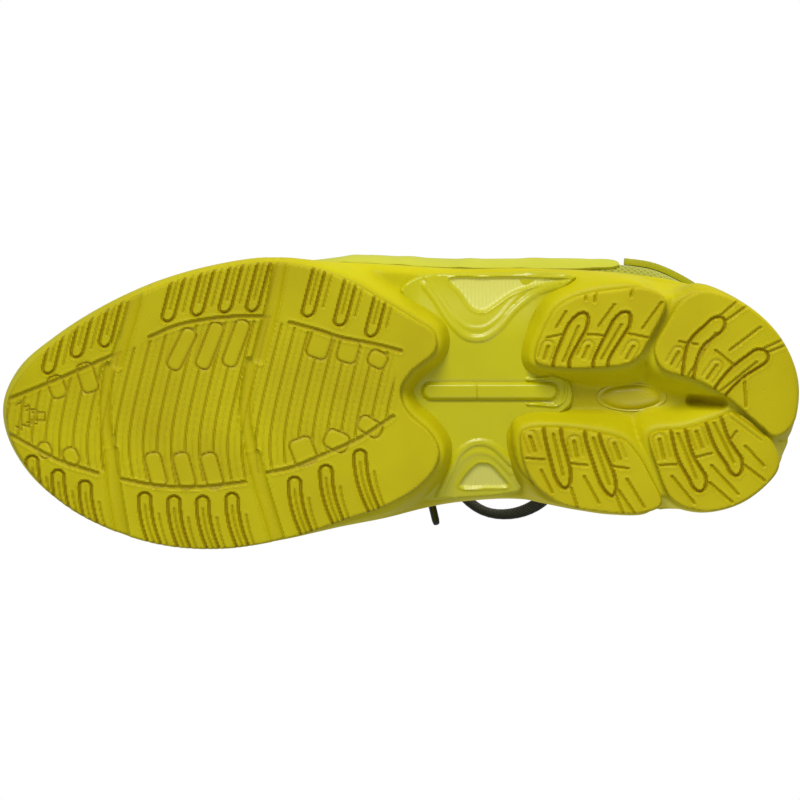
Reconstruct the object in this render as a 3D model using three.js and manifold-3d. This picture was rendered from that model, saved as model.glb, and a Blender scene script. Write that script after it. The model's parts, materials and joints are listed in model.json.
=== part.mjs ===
// A running shoe for the left foot, in millimetres. +X points to the toe, +Y to the outer side of
// the foot and +Z up. The ground is z = 0, and the origin is under the middle of the shoe.
//
// The sole pieces are plan outlines crossed with side profiles. The upper is a set of panels on one
// surface, which runs round the foot by station and up each rib from the sole to the top line.
import * as THREE from "three";
import { mergeVertices } from "three/addons/utils/BufferGeometryUtils.js";
import Module from "manifold-3d";

const wasm = await Module();
wasm.setup();

// ---- Driving dimensions -----------------------------------------------------------------------

const GAP = 0.3; // clearance between pieces that lie on each other
const TREAD_THICK = 4; // rubber under the forefoot and the heel pods
const SLAB_BOTTOM = 14; // underside of the foam between the pods, over level ground
const SHANK_THICK = 2.2;
const FOOTBED_HEEL = 33; // height of the foam's top face under the heel
const FOOTBED_BALL = 21; // and under the ball of the foot
const LIP = 7; // the foam wall stands this high above the footbed
const TOE_SPRING = 17; // the toe's underside clears the ground by this much
const HEEL_BEVEL = 7; // and the back of the heel by this much
const BOARD_THICK = 1.6;
const SOCKLINER_THICK = 4.5;
const FABRIC = 1.6; // quarter and vamp cloth
const OVERLAY = 1.2; // welded film and moulded covers
const STIFFENER = 1.0;
const LINING = 1.0;
const COLLAR_PAD = 4.2; // collar foam
const LACE = 3.2; // lace diameter
const LACE_SIDES = 8;
const EYELETS = 6; // a side
const EYELET_BORE = 5.2;
const EYELET_EDGE = 7.5; // from the throat edge to each eyelet's centre
const RING_WALL = 1.4;
const RING_PROUD = 0.5; // the ring stands this far above the eyestay
const TONGUE_FACE = 1.4;
const TONGUE_FOAM = 4.4;
const TONGUE_BACK = 1.0;

const HALF_LENGTH = 150;
const TALL = 200; // taller than any piece, for cutting
const STEP_X = 12; // spacing of the points of a side profile

// ---- Materials --------------------------------------------------------------------------------

const finish = (color, roughness, metalness = 0) =>
  new THREE.MeshStandardMaterial({ color, roughness, metalness });
const LOOK = {
  rubber: finish(0xb4ad18, 0.6),
  foam: finish(0xbfba22, 0.55),
  tpu: finish(0xbdbb12, 0.2),
  gel: finish(0xc8b820, 0.3),
  mesh: finish(0xb9c221, 0.85),
  film: finish(0xc4c14a, 0.45),
  board: finish(0xe8e4d8, 0.9),
  black: finish(0x161616, 0.8),
  stiff: finish(0xd9d4c4, 0.7),
  padding: finish(0x2a2a2a, 0.95),
};

// ---- Curves -----------------------------------------------------------------------------------

const flat = (x, y, z = 0) => new THREE.Vector3(x, y, z);
const clamp = (v, low, high) => Math.min(high, Math.max(low, v));
const ease = (v, from, to) => {
  const t = clamp((v - from) / (to - from), 0, 1);
  return t * t * (3 - 2 * t);
};

// Underside of the sole, over the ground: level, with a rise at the toe and a bevel at the heel.
const ground = (x) => {
  const toe = Math.max(0, (x - 70) / (HALF_LENGTH - 70));
  const heel = Math.max(0, (-x - 118) / (HALF_LENGTH - 118));
  return TOE_SPRING * toe ** 2 + HEEL_BEVEL * heel ** 2;
};
// Top face of the foam, where the upper stands.
const footbed = (x) =>
  FOOTBED_HEEL +
  (FOOTBED_BALL - FOOTBED_HEEL) * ease(x, -60, 55) +
  0.75 * TOE_SPRING * Math.max(0, (x - 70) / (HALF_LENGTH - 70)) ** 2;
const lipTop = (x) => footbed(x) + LIP + 5 * ease(-x, 95, 145);

// Plan outlines, counter-clockwise from above, starting at the back of the heel on the inner side.
const SOLE = [
  [-148, -7], [-143, -23], [-131, -36], [-112, -41.5], [-80, -43], [-45, -41], [-12, -42.5],
  [18, -46.5], [44, -52.5], [66, -56], [88, -55], [108, -49.5], [126, -41], [140, -28.5],
  [148, -14], [149, 0], [143, 11.5], [130, 24], [112, 36], [92, 45.5], [70, 51.5], [48, 54],
  [22, 51], [-12, 47.5], [-45, 47], [-80, 47], [-108, 43], [-130, 34], [-143, 21], [-148, 8],
];
const FOREFOOT = [
  [-13.5, -24], [-7, -32], [6, -39.5], [24, -45], [44, -50.5], [66, -54], [88, -53],
  [108, -47.5], [125, -39], [138.5, -27], [146.5, -13], [147, -1], [141, 9.5], [128, 21.5],
  [110, 33], [90, 42], [68, 48.5], [45, 51], [22, 46], [7.5, 38.5], [-5, 31], [-13, 25.5],
  [-13, 19], [-4, 11], [0, 4], [-3, -4], [-11, -11.5], [-14.5, -17.5],
];
const HEEL_PADS = {
  lateral_front: [
    [-51, 14.5], [-50.5, 19], [-54, 28], [-58, 35], [-66, 39.5], [-80, 42], [-93, 42.5],
    [-99.5, 38], [-93.5, 24], [-89.5, 17], [-84.5, 14],
  ],
  lateral_rear: [
    [-122.5, 1.5], [-111, 8], [-98, 12.5], [-95, 19.5], [-99.5, 29], [-105, 37.5], [-113, 41],
    [-125, 37], [-136, 29.5], [-144, 19], [-148, 6], [-146.5, -8], [-140.5, -12],
  ],
  medial_rear: [
    [-124.5, -4], [-137, -13.5], [-141, -24], [-136, -31], [-126, -37.5], [-112, -40.5],
    [-102, -37], [-96, -24], [-93.5, -12.5], [-107, -10], [-118, -6.5],
  ],
  medial_front: [
    [-46, -11], [-45.5, -20], [-49.5, -30], [-59, -38], [-75, -41.5], [-91, -42], [-98, -38.5],
    [-94, -28], [-89, -19.5], [-83, -14],
  ],
};
const ARCH_WINDOWS = {
  lateral: [[-22, 45], [-52, 43.5], [-30, 30]],
  medial: [[-20, -39], [-46, -38], [-28, -26]],
};

// A closed smooth outline through a few points, moved inwards by inset.
function outline(points, inset = 0, count = 2) {
  const curve = new THREE.CatmullRomCurve3(points.map(([x, y]) => flat(x, y)), true, "centripetal");
  return curve.getPoints(points.length * count).slice(0, -1).map((p, i, all) => {
    const before = all[(i + all.length - 1) % all.length];
    const after = all[(i + 1) % all.length];
    const along = flat(after.x - before.x, after.y - before.y).normalize();
    return new THREE.Vector2(p.x - along.y * inset, p.y + along.x * inset);
  });
}

// ---- Solids -----------------------------------------------------------------------------------

// A closed mesh as a solid that can be joined and cut.
function solid(geometry) {
  const g = (geometry.index ? geometry.toNonIndexed() : geometry).clone();
  g.deleteAttribute("normal");
  g.deleteAttribute("uv");
  const merged = mergeVertices(g, 1e-4);
  const made = new wasm.Manifold(
    new wasm.Mesh({
      numProp: 3,
      vertProperties: merged.attributes.position.array,
      triVerts: new Uint32Array(merged.index.array),
    }),
  );
  return made;
}

function geometryOf(made) {
  const m = made.getMesh();
  const g = new THREE.BufferGeometry();
  g.setAttribute("position", new THREE.BufferAttribute(m.vertProperties, 3));
  g.setIndex(new THREE.BufferAttribute(m.triVerts, 1));
  g.computeVertexNormals();
  return g;
}

// A plan outline as a tall prism, upright.
function prism(points, low = -TALL, high = TALL) {
  const shape = new THREE.Shape(THREE.ShapeUtils.isClockWise(points) ? points.reverse() : points);
  const g = new THREE.ExtrudeGeometry(shape, { depth: high - low, bevelEnabled: false });
  return solid(g.translate(0, 0, low));
}

// The space between two heights, each a function of x, from side to side of the shoe.
function layer(low, high, from = -HALF_LENGTH - 5, to = HALF_LENGTH + 5) {
  const count = Math.round((to - from) / STEP_X);
  const xs = [...Array(count + 1).keys()].map((i) => from + ((to - from) * i) / count);
  const bottom = xs.map((x) => new THREE.Vector2(x, low(x)));
  const top = xs.map((x) => new THREE.Vector2(x, high(x))).reverse();
  const g = new THREE.ExtrudeGeometry(new THREE.Shape([...bottom, ...top]), {
    depth: 2 * TALL,
    bevelEnabled: false,
  });
  return solid(g.rotateX(Math.PI / 2).translate(0, TALL, 0));
}

const under = (height, drop) => (x) => height(x) - drop;
const slab = (x) => SLAB_BOTTOM + ground(x);

// A closed solid through a row of rings with the same number of points, with flat ends.
function loft(rings) {
  const n = rings[0].length;
  const points = rings.flat();
  const faces = [];
  for (let k = 0; k + 1 < rings.length; k++)
    for (let i = 0; i < n; i++) {
      const [a, b] = [k * n + i, k * n + ((i + 1) % n)];
      faces.push(a, b, b + n, a, b + n, a + n);
    }
  const last = (rings.length - 1) * n;
  for (let i = 1; i + 1 < n; i++) faces.push(0, i + 1, i, last, last + i, last + i + 1);
  return closed(points, faces);
}

// Points and faces as a solid, turned to face outwards.
function closed(points, faces) {
  const g = new THREE.BufferGeometry();
  g.setAttribute("position", new THREE.Float32BufferAttribute(points.flatMap((p) => p.toArray()), 3));
  g.setIndex(faces);
  const made = solid(g);
  if (made.volume() >= 0) return made;
  const turned = [];
  for (let i = 0; i < faces.length; i += 3) turned.push(faces[i], faces[i + 2], faces[i + 1]);
  g.setIndex(turned);
  return solid(g);
}

// ---- The upper's surface ----------------------------------------------------------------------

// Stations run from the back of the heel, 0, to the toe, 14. Each has the foot of its rib in plan
// for both sides, the rib's top, how far its lower part swells outwards and upwards, and the way
// that it leaves the top, outwards.
const STATIONS = [
  { outer: [-140, 0], inner: [-140, 0], top: [-127, 0, 106], swell: [5, 30], leave: [-1, 0, -26] },
  { outer: [-134, 19], inner: [-134, 19], top: [-125, 12, 104], swell: [5, 30], leave: [-1, 1, -26] },
  { outer: [-119, 31], inner: [-119, 30], top: [-116, 23, 98], swell: [5, 29], leave: [-1, 3, -26] },
  { outer: [-95, 38.5], inner: [-95, 35.5], top: [-97, 31, 88], swell: [4, 27], leave: [0, 5, -22] },
  { outer: [-70, 41], inner: [-70, 36.5], top: [-72, 33, 84], swell: [4, 26], leave: [0, 6, -22] },
  { outer: [-42, 41], inner: [-42, 35], top: [-48, 29, 93], swell: [5, 26], leave: [2, 8, -24] },
  { outer: [-18, 41.5], inner: [-18, 36.5], top: [-31, 20, 107], swell: [5, 26], leave: [4, 15, -22] },
  { outer: [6, 43], inner: [6, 39.5], top: [-8, 17, 95], swell: [5, 24], leave: [5, 19, -14] },
  { outer: [28, 45.5], inner: [28, 43.5], top: [15, 15, 84], swell: [4, 22], leave: [5, 21, -9] },
  { outer: [50, 48], inner: [50, 48], top: [36, 13, 74.5], swell: [4, 20], leave: [6, 24, -6] },
  { outer: [72, 45.5], inner: [72, 50], top: [55, 9, 67], swell: [4, 19], leave: [7, 26, -3] },
  { outer: [92, 40], inner: [92, 49.5], top: [62, 0, 64.5], swell: [4, 19], leave: [6, 28, 0] },
  { outer: [113, 30.5], inner: [113, 42.5], top: [89, -1, 60], swell: [4, 19], leave: [7, 24, 1] },
  { outer: [131, 16.5], inner: [131, 29.5], top: [110, -4, 55], swell: [4, 18], leave: [11, 18, 1] },
  { outer: [141.5, -5], inner: [141.5, 5], top: [126, -5, 48], swell: [4, 15], leave: [13, 0, 2] },
];
const LAST = STATIONS.length - 1;
const RIDGE = 11; // from this station on, both sides meet along the ridge of the toe box
const COLLAR_END = 6; // the collar runs from the heel to this station, and the throat from there
const VAMP_START = 10; // the vamp is sewn to the quarters here
const ROWS = [0, 0.14, 0.28, 0.42, 0.56, 0.7, 0.85, 1]; // shared heights, as shares of a rib

// w goes round the shoe: 0 at the heel, up to LAST on the outer side, and from there back on the
// inner side to 2 * LAST, which is the heel again.
const turn = (w) => ((w % (2 * LAST)) + 2 * LAST) % (2 * LAST);
const sideOf = (w) => (turn(w) <= LAST ? 1 : -1);
const stationOf = (w) => (turn(w) <= LAST ? turn(w) : 2 * LAST - turn(w));
const opposite = (w) => 2 * LAST - w;

// A smooth curve through the points that at gives for whole numbers.
const blend = (at) => (t) => {
  const i = Math.floor(t);
  const u = t - i;
  const [a, b, c, d] = [i - 1, i, i + 1, i + 2].map(at);
  const share = [-u + 2 * u * u - u ** 3, 2 - 5 * u * u + 3 * u ** 3, u + 4 * u * u - 3 * u ** 3, u ** 3 - u * u];
  return flat(0, 0).addScaledVector(a, share[0] / 2).addScaledVector(b, share[1] / 2)
    .addScaledVector(c, share[2] / 2).addScaledVector(d, share[3] / 2);
};
const footAt = blend((k) => {
  const { outer, inner } = STATIONS[stationOf(k)];
  return sideOf(k) > 0 ? flat(...outer) : flat(inner[0], -inner[1]);
});
const swellAt = blend((k) => flat(...STATIONS[stationOf(k)].swell));
const leaveAt = blend((k) => {
  const [x, y, z] = STATIONS[stationOf(k)].leave;
  return flat(x, y * sideOf(k), z);
});
// The collar and throat edge of the outer side, which goes on to the inner side at both its ends.
const edgeAt = blend((k) => {
  const beyond = k < 0 || k > RIDGE;
  const [x, y, z] = STATIONS[beyond ? (k < 0 ? -k : 2 * RIDGE - k) : k].top;
  return flat(x, beyond ? -y : y, z);
});
const ridgeAt = blend((k) => flat(...STATIONS[clamp(k, RIDGE, LAST)].top));
function topAt(w) {
  const s = stationOf(w);
  if (s >= RIDGE) return ridgeAt(s);
  const p = edgeAt(s);
  return flat(p.x, p.y * sideOf(w), p.z);
}

function rib(w, h) {
  const foot = footAt(w);
  const round = footAt(w + 0.05).sub(footAt(w - 0.05));
  const out = flat(round.y, -round.x).normalize().negate();
  foot.z = footbed(foot.x) + GAP;
  const top = topAt(w);
  const swell = swellAt(w);
  const low = foot.clone().addScaledVector(out, swell.x).add(flat(0, 0, swell.y));
  const high = top.clone().add(leaveAt(w));
  return new THREE.CubicBezierCurve3(foot, low, high, top).getPoint(h);
}

function facing(w, h) {
  const row = Math.min(h, 0.97);
  const round = rib(w + 0.05, row).sub(rib(w - 0.05, row));
  const up = rib(w, row + 0.02).sub(rib(w, row - 0.02 < 0 ? 0 : row - 0.02));
  return up.cross(round).normalize();
}

// A point of the surface, moved out along its own normal. On the ridge both sides agree.
function skin(w, h, out) {
  const n = facing(w, h);
  if (h > 0.999 && stationOf(w) >= RIDGE) n.add(facing(opposite(w), h)).normalize();
  return rib(w, h).addScaledVector(n, out);
}

// Even half stations from one place to another.
function round(from, to) {
  const count = Math.max(1, Math.round((to - from) * 2));
  return [...Array(count + 1).keys()].map((i) => from + ((to - from) * i) / count);
}

// A panel of the upper between two rows and two depths. The depths can change with place.
function panel(ws, rows, inside, outside) {
  const depth = (d, w, h) => (typeof d === "function" ? d(w, h) : d);
  const points = [];
  for (const d of [outside, inside])
    for (const w of ws) for (const h of rows) points.push(skin(w, h, depth(d, w, h)));
  const m = rows.length;
  const side = ws.length * m;
  const faces = [];
  const quad = (a, b, c, d) => faces.push(a, b, c, a, c, d);
  for (let i = 0; i + 1 < ws.length; i++)
    for (let j = 0; j + 1 < m; j++) {
      const [a, b] = [i * m + j, (i + 1) * m + j];
      quad(a, b, b + 1, a + 1);
      quad(side + a, side + a + 1, side + b + 1, side + b);
    }
  for (let i = 0; i + 1 < ws.length; i++) {
    const [a, b] = [i * m, (i + 1) * m];
    quad(a, side + a, side + b, b);
    const joined = rows[m - 1] === 1 && [ws[i], ws[i + 1]].every((w) => stationOf(w) >= RIDGE);
    if (!joined) quad(a + m - 1, b + m - 1, side + b + m - 1, side + a + m - 1);
  }
  for (let j = 0; j + 1 < m; j++) {
    quad(j, j + 1, side + j + 1, side + j);
    const e = (ws.length - 1) * m + j;
    quad(e, side + e, side + e + 1, e + 1);
  }
  return closed(points, faces);
}

// The space inside the lower rows of the surface, moved out by a depth, and straight down from it.
function hollow(count, depth) {
  const ws = round(0, 2 * LAST).slice(0, -1);
  const n = ws.length;
  const rings = ROWS.slice(0, count).map((h) => ws.map((w) => skin(w, h, depth)));
  const points = [rings[0].map((p) => p.clone().sub(flat(0, 0, 3))), ...rings].flat();
  const faces = [];
  for (let k = 0; k < count; k++)
    for (let i = 0; i < n; i++) {
      const [a, b] = [k * n + i, k * n + ((i + 1) % n)];
      faces.push(a, b, b + n, a, b + n, a + n);
    }
  const top = count * n;
  for (let i = 0; i < n / 2; i++) {
    const [a, b, c, d] = [i, i + 1, (n - i - 1) % n, (n - i) % n];
    for (const t of [[a, c, b], [a, d, c]])
      if (new Set(t).size === 3) faces.push(...t, t[0] + top, t[2] + top, t[1] + top);
  }
  return closed(points, faces);
}

// ---- Eyelets ----------------------------------------------------------------------------------

// How far up its rib a point lies that is a given distance from the throat edge.
function rowAt(w, distance) {
  let [h, gone] = [1, 0];
  let before = rib(w, 1);
  while (gone < distance && h > 0) {
    h -= 0.01;
    const p = rib(w, h);
    gone += p.distanceTo(before);
    before = p;
  }
  return h;
}
const EYELET_FIRST = 9.6; // station of the eyelet nearest the toe
const EYELET_LAST = 6.4; // and of the one at the ankle
const eyelets = [];
for (let i = 0; i < EYELETS; i++)
  for (const side of [1, -1]) {
    const s = EYELET_FIRST + ((EYELET_LAST - EYELET_FIRST) * i) / (EYELETS - 1);
    const w = side > 0 ? s : opposite(s);
    const h = rowAt(w, EYELET_EDGE);
    eyelets.push({ i, side, w, h, at: skin(w, h, 0), normal: facing(w, h) });
  }
const eyelet = (i, side) => eyelets.find((e) => e.i === i && e.side === side);

// A round bar along an eyelet's axis, between two depths.
function bar({ at, normal }, radius, inside, outside, sides = 10) {
  const g = new THREE.CylinderGeometry(radius, radius, outside - inside, sides);
  g.applyQuaternion(new THREE.Quaternion().setFromUnitVectors(flat(0, 1, 0), normal));
  const middle = at.clone().addScaledVector(normal, (inside + outside) / 2);
  return solid(g.translate(middle.x, middle.y, middle.z));
}
function punched(made, side) {
  return eyelets.filter((e) => e.side === side)
    .reduce((left, e) => left.subtract(bar(e, EYELET_BORE / 2 + RING_WALL + GAP, -9, 6)), made);
}

// ---- Assembly ---------------------------------------------------------------------------------

const shoe = new THREE.Group();
function add(name, made, material) {
  const mesh = new THREE.Mesh(geometryOf(made), material);
  mesh.name = name;
  shoe.add(mesh);
}

// Rubber under the forefoot, with the two channels where it bends.
const CHANNELS = [108, 46]; // where each channel crosses the middle of the tread
const CHANNEL_WIDTH = 5;
const CHANNEL_DEPTH = 2;
const bow = (y) => Math.hypot(3, 0.27 * (y + 17)) - 3; // how far a channel curves back to the heel
function channel(x) {
  const ys = [...Array(13).keys()].map((i) => -72 + 12 * i);
  const edge = (shift) => ys.map((y) => new THREE.Vector2(x + shift - bow(y), y));
  return prism([...edge(CHANNEL_WIDTH / 2), ...edge(-CHANNEL_WIDTH / 2).reverse()])
    .intersect(layer(() => -TALL, (v) => ground(v) + CHANNEL_DEPTH));
}
function forefootOutsole() {
  const made = prism(outline(FOREFOOT)).intersect(layer(ground, (x) => ground(x) + TREAD_THICK));
  return CHANNELS.reduce((left, x) => left.subtract(channel(x)), made);
}

// Foam: a slab with a wall round the foot, on a forefoot block and four heel pods.
const WINDOW_LENGTH = 26; // the oval heel insert, as seen from below
const WINDOW_WIDTH = 11;
const INSERT = { x: -88, flange: 6, above: 5 };
const BALL_PAD = { x: 62, y: -2, length: 56, width: 46, thick: 4 };
function oval(x, y, length, width) {
  return new THREE.EllipseCurve(x, y, length / 2, width / 2).getPoints(28).slice(0, -1);
}
function midsole() {
  const top = (x) => ground(x) + TREAD_THICK + GAP;
  const block = (points, spread) => prism(outline(points, -spread)).intersect(layer(top, (x) => slab(x) + 2));
  let made = prism(outline(SOLE)).intersect(layer(slab, lipTop));
  made = made.add(block(FOREFOOT, 0.8));
  for (const pad of Object.values(HEEL_PADS)) made = made.add(block(pad, 0.8));
  made = made.subtract(hollow(4, GAP).intersect(layer(footbed, () => TALL)));
  const hole = prism(oval(INSERT.x, 0, WINDOW_LENGTH + 2 * GAP, WINDOW_WIDTH + 2 * GAP));
  const seat = prism(oval(INSERT.x, 0, WINDOW_LENGTH + 2 * INSERT.flange, WINDOW_WIDTH + 4 * INSERT.flange));
  made = made.subtract(hole).subtract(seat.intersect(layer(under(footbed, INSERT.above), () => TALL)));
  const pocket = prism(oval(BALL_PAD.x, BALL_PAD.y, BALL_PAD.length, BALL_PAD.width));
  return made.subtract(pocket.intersect(layer(under(footbed, BALL_PAD.thick), () => TALL)));
}
function heelInsert() {
  const stem = prism(oval(INSERT.x, 0, WINDOW_LENGTH, WINDOW_WIDTH))
    .intersect(layer((x) => slab(x) + 1, under(footbed, GAP), INSERT.x - 36, INSERT.x + 36));
  const flange = prism(
    oval(INSERT.x, 0, WINDOW_LENGTH + 2 * INSERT.flange - 2 * GAP, WINDOW_WIDTH + 4 * INSERT.flange - 2 * GAP),
  ).intersect(layer(under(footbed, INSERT.above - GAP), under(footbed, GAP)));
  return stem.add(flange);
}
function ballInsert() {
  const { x, y, length, width, thick } = BALL_PAD;
  return prism(oval(x, y, length - 2 * GAP, width - 2 * GAP))
    .intersect(layer(under(footbed, thick - GAP), under(footbed, GAP)));
}

// A moulded plate that bridges the waist, with a rib along its middle and a window to each side.
const SHANK = [
  [-57, 12], [-64, 6], [-64, -2], [-56, -7], [-43, -9], [-42, -22], [-45, -38.5], [-25, -40.5],
  [-8, -39], [2, -41.5], [-10, -31], [-16.5, -24], [-17, -17], [-13, -10], [-4, -3], [-2, 4],
  [-6, 12], [-15, 18.5], [-15.5, 26], [-8, 33], [0, 41], [-8, 44.5], [-30, 45.5], [-56, 43],
  [-52, 34], [-47.5, 22], [-48, 12],
];
function archShank() {
  const low = (x) => slab(x) - SHANK_THICK - GAP;
  let made = prism(outline(SHANK, 0.5, 3)).intersect(layer(low, under(slab, GAP)));
  for (const points of Object.values(ARCH_WINDOWS)) made = made.subtract(prism(outline(points, -1, 6)));
  const rod = prism([flat(-8, 2), flat(-52, 2), flat(-52, 7), flat(-8, 7)].map((p) => new THREE.Vector2(p.x, p.y)));
  return made.add(rod.intersect(layer(under(low, 1.5), under(slab, GAP))));
}

add("forefoot_outsole", forefootOutsole(), LOOK.rubber);
for (const [place, points] of Object.entries(HEEL_PADS))
  add(`heel_pad_${place}`, prism(outline(points)).intersect(layer(ground, (x) => ground(x) + TREAD_THICK)), LOOK.rubber);
add("midsole_foam", midsole(), LOOK.foam);
add("arch_shank", archShank(), LOOK.tpu);
add("heel_cushion_insert", heelInsert(), LOOK.gel);
add("forefoot_cushion_insert", ballInsert(), LOOK.gel);

// Cloth and covers of the upper, from the outside in.
const SEAM = 0.008; // of a station, half the gap at a seam
const rowsTo = (n) => ROWS.slice(0, n + 1);
const rowsFrom = (n) => ROWS.slice(n);
const sides = (from, to) => ({ lateral: round(from, to), medial: round(opposite(to), opposite(from)) });
const padding = (w, h) => COLLAR_PAD * ease(h, 0.5, 0.68) * (1 - ease(stationOf(w), 4.6, 5.6));
const LINING_DEPTH = FABRIC + STIFFENER + 2 * GAP;
const liningFace = (w, h) => -LINING_DEPTH - padding(w, h);
const liningBack = (w, h) => liningFace(w, h) - LINING;
const aroundToe = (from) => round(from + SEAM, opposite(from) - SEAM);
const outside = [GAP, GAP + OVERLAY];
const within = [-FABRIC - GAP - STIFFENER, -FABRIC - GAP];

add("vamp", panel(aroundToe(VAMP_START), ROWS, -FABRIC, 0), LOOK.mesh);
for (const name of ["lateral", "medial"]) {
  const side = name === "lateral" ? 1 : -1;
  const quarter = sides(SEAM, VAMP_START - SEAM)[name];
  const throat = sides(COLLAR_END + SEAM, VAMP_START - SEAM)[name];
  add(`${name}_quarter`, punched(panel(quarter, ROWS, -FABRIC, 0), side), LOOK.mesh);
  add(`${name}_eyestay`, punched(panel(throat, rowsFrom(4), ...outside), side), LOOK.film);
  const band = sides(3.5 + SEAM, 10.5 - SEAM)[name];
  add(`${name}_side_band`, panel(band, rowsTo(3).slice(1), ...outside), LOOK.film);
  add(`${name}_side_lining`, panel(throat, rowsTo(5), liningBack, liningFace), LOOK.black);
}
add("toe_guard", panel(aroundToe(10.5), rowsTo(4).slice(2), ...outside), LOOK.film);
add("heel_cover", panel(round(-3.5, 3.5), rowsTo(5).slice(2), GAP, GAP + 2 * OVERLAY), LOOK.tpu);
add("heel_stiffener", panel(round(-3.5, 3.5), rowsTo(3), ...within), LOOK.stiff);
add("toe_puff", panel(round(11.5, 2 * LAST - 11.5), rowsTo(5), ...within), LOOK.stiff);
add("collar_foam",
  panel(round(-4.5, 4.5), rowsFrom(5), (w, h) => liningFace(w, h) + GAP, -FABRIC - GAP), LOOK.padding);
add("collar_lining",
  panel(round(-COLLAR_END + SEAM, COLLAR_END - SEAM), ROWS, liningBack, liningFace), LOOK.black);
add("vamp_lining", panel(aroundToe(VAMP_START), ROWS, liningBack, liningFace), LOOK.black);

// Board and sockliner inside the upper.
const boardTop = (x) => footbed(x) + GAP + BOARD_THICK;
const inner = -LINING_DEPTH - LINING - GAP;
const room = hollow(3, inner);
const LINER_PLAY = 0.7; // round the sockliner, so that it lifts out
add("lasting_board", room.intersect(layer((x) => footbed(x) + GAP, boardTop)), LOOK.board);
const linerTop = (x) => boardTop(x) + GAP + SOCKLINER_THICK;
add("sockliner", hollow(3, inner - LINER_PLAY).intersect(layer((x) => boardTop(x) + GAP, linerTop)), LOOK.black);

// Tape folded over the collar's top edge.
const BINDING = 2.4;
function collarBinding() {
  const rings = round(-COLLAR_END + 0.5, COLLAR_END - 0.5).map((w) => {
    const outer = skin(w, 1, 0.6);
    const inner = skin(w, 1, liningBack(w, 1) - 0.6);
    outer.z = inner.z = Math.max(outer.z, inner.z) + GAP;
    const lift = flat(0, 0, BINDING);
    return [outer, inner, inner.clone().add(lift), outer.clone().add(lift)];
  });
  return loft(rings);
}
add("collar_binding", collarBinding(), LOOK.black);

// A row of rings across the throat, which lie at a depth under the surface and arch between the
// edges. Past the ankle the rings rise, narrow and flatten.
const TONGUE_ROWS = [0.79, 0.86, 0.93, 1];
const TONGUE_BASE = 10.9; // station of its sewn end
const TONGUE_FREE = 6.05; // station where it leaves the throat
const TONGUE_RISE = 22; // from there to its top
const LACE_ROOM = FABRIC + 2 * GAP + LACE; // between the quarter's outer face and the tongue
const tongueDepth = (s) => {
  const sewn = LINING_DEPTH + LINING + GAP + 0.1;
  return sewn + Math.max(0, LACE_ROOM + 0.2 - sewn) * (1 - ease(s, 9.9, 10.3));
};
function across(s, depth) {
  const left = TONGUE_ROWS.map((h) => skin(s, h, -depth));
  const right = TONGUE_ROWS.map((h) => skin(opposite(s), h, -depth)).reverse();
  const [a, b] = [left.at(-1), right[0]];
  const reach = a.distanceTo(b) * 0.36;
  const leaving = a.clone().sub(left.at(-2)).setLength(reach).add(a);
  const landing = b.clone().sub(right[1]).setLength(reach).add(b);
  return [...left, ...new THREE.CubicBezierCurve3(a, leaving, landing, b).getPoints(4).slice(1, -1), ...right];
}
function tongueSpine(depth) {
  const stations = [...Array(10).keys()].map((i) => TONGUE_BASE + ((TONGUE_FREE - TONGUE_BASE) * i) / 9);
  const arches = stations.map((s) => across(s, tongueDepth(s) + depth));
  const last = arches.at(-1);
  const crown = last[5];
  for (const t of [1 / 3, 2 / 3, 1])
    arches.push(last.map((p) => {
      const spread = p.clone();
      spread.y *= 1 - 0.34 * Math.sqrt(t);
      spread.z = crown.z + (p.z - crown.z) * (1 - 0.45 * t);
      return spread.add(flat(-0.35 * TONGUE_RISE * t, 0, 0.94 * TONGUE_RISE * t));
    }));
  return arches;
}
// A layer of the tongue, which can stop a few points short of its side edges.
function tongueLayer(depth, thick, inset = 0) {
  const upper = tongueSpine(depth);
  const lower = tongueSpine(depth + thick);
  const kept = (arch) => arch.slice(inset, arch.length - inset);
  return loft(upper.map((arch, k) => [...kept(arch), ...kept(lower[k]).reverse()]));
}
add("tongue_face", tongueLayer(0, TONGUE_FACE), LOOK.mesh);
add("tongue_foam", tongueLayer(TONGUE_FACE + GAP, TONGUE_FOAM, 2), LOOK.padding);
add("tongue_backing", tongueLayer(TONGUE_FACE + TONGUE_FOAM + 2 * GAP, TONGUE_BACK), LOOK.black);

// Rings that line the lace holes.
for (const e of eyelets) {
  const ring = bar(e, EYELET_BORE / 2 + RING_WALL, -FABRIC, GAP + OVERLAY + RING_PROUD)
    .subtract(bar(e, EYELET_BORE / 2, -9, 6));
  add(`${e.side > 0 ? "lateral" : "medial"}_eyelet_${e.i + 1}`, ring, LOOK.black);
}

// The lace, as a list of places on its middle line. It crosses over the tongue from each eyelet to
// the next one on the other side, and goes up through that one from below.
const LACE_IN = -FABRIC - GAP - LACE / 2;
const LACE_OUT = GAP + OVERLAY + RING_PROUD + GAP + LACE / 2;
const LACE_OVER = GAP + OVERLAY + GAP + LACE / 2;
// Places at an eyelet, from under the throat edge to above it.
function threaded(e) {
  const inwards = rib(e.w, Math.min(1, e.h + 0.04)).sub(rib(e.w, e.h)).normalize();
  const place = (along, out) => e.at.clone().addScaledVector(inwards, along).addScaledVector(e.normal, out);
  const near = rowAt(e.w, EYELET_EDGE - 4.4);
  return [
    skin(e.w, near, LACE_IN - 0.2),
    place(1.3, LACE_IN + 0.1),
    place(0.1, -1.4),
    place(0.1, 2),
    place(1, LACE_OUT - 0.3),
    skin(e.w, near, LACE_OUT + LACE / 12),
  ];
}
const between = (s, side) => (side > 0 ? s : opposite(s));
const THROAT_UP = flat(0.46, 0, 0.89); // square to the throat's slope
const crownOf = (s) => across(s, tongueDepth(s))[5];
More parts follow.
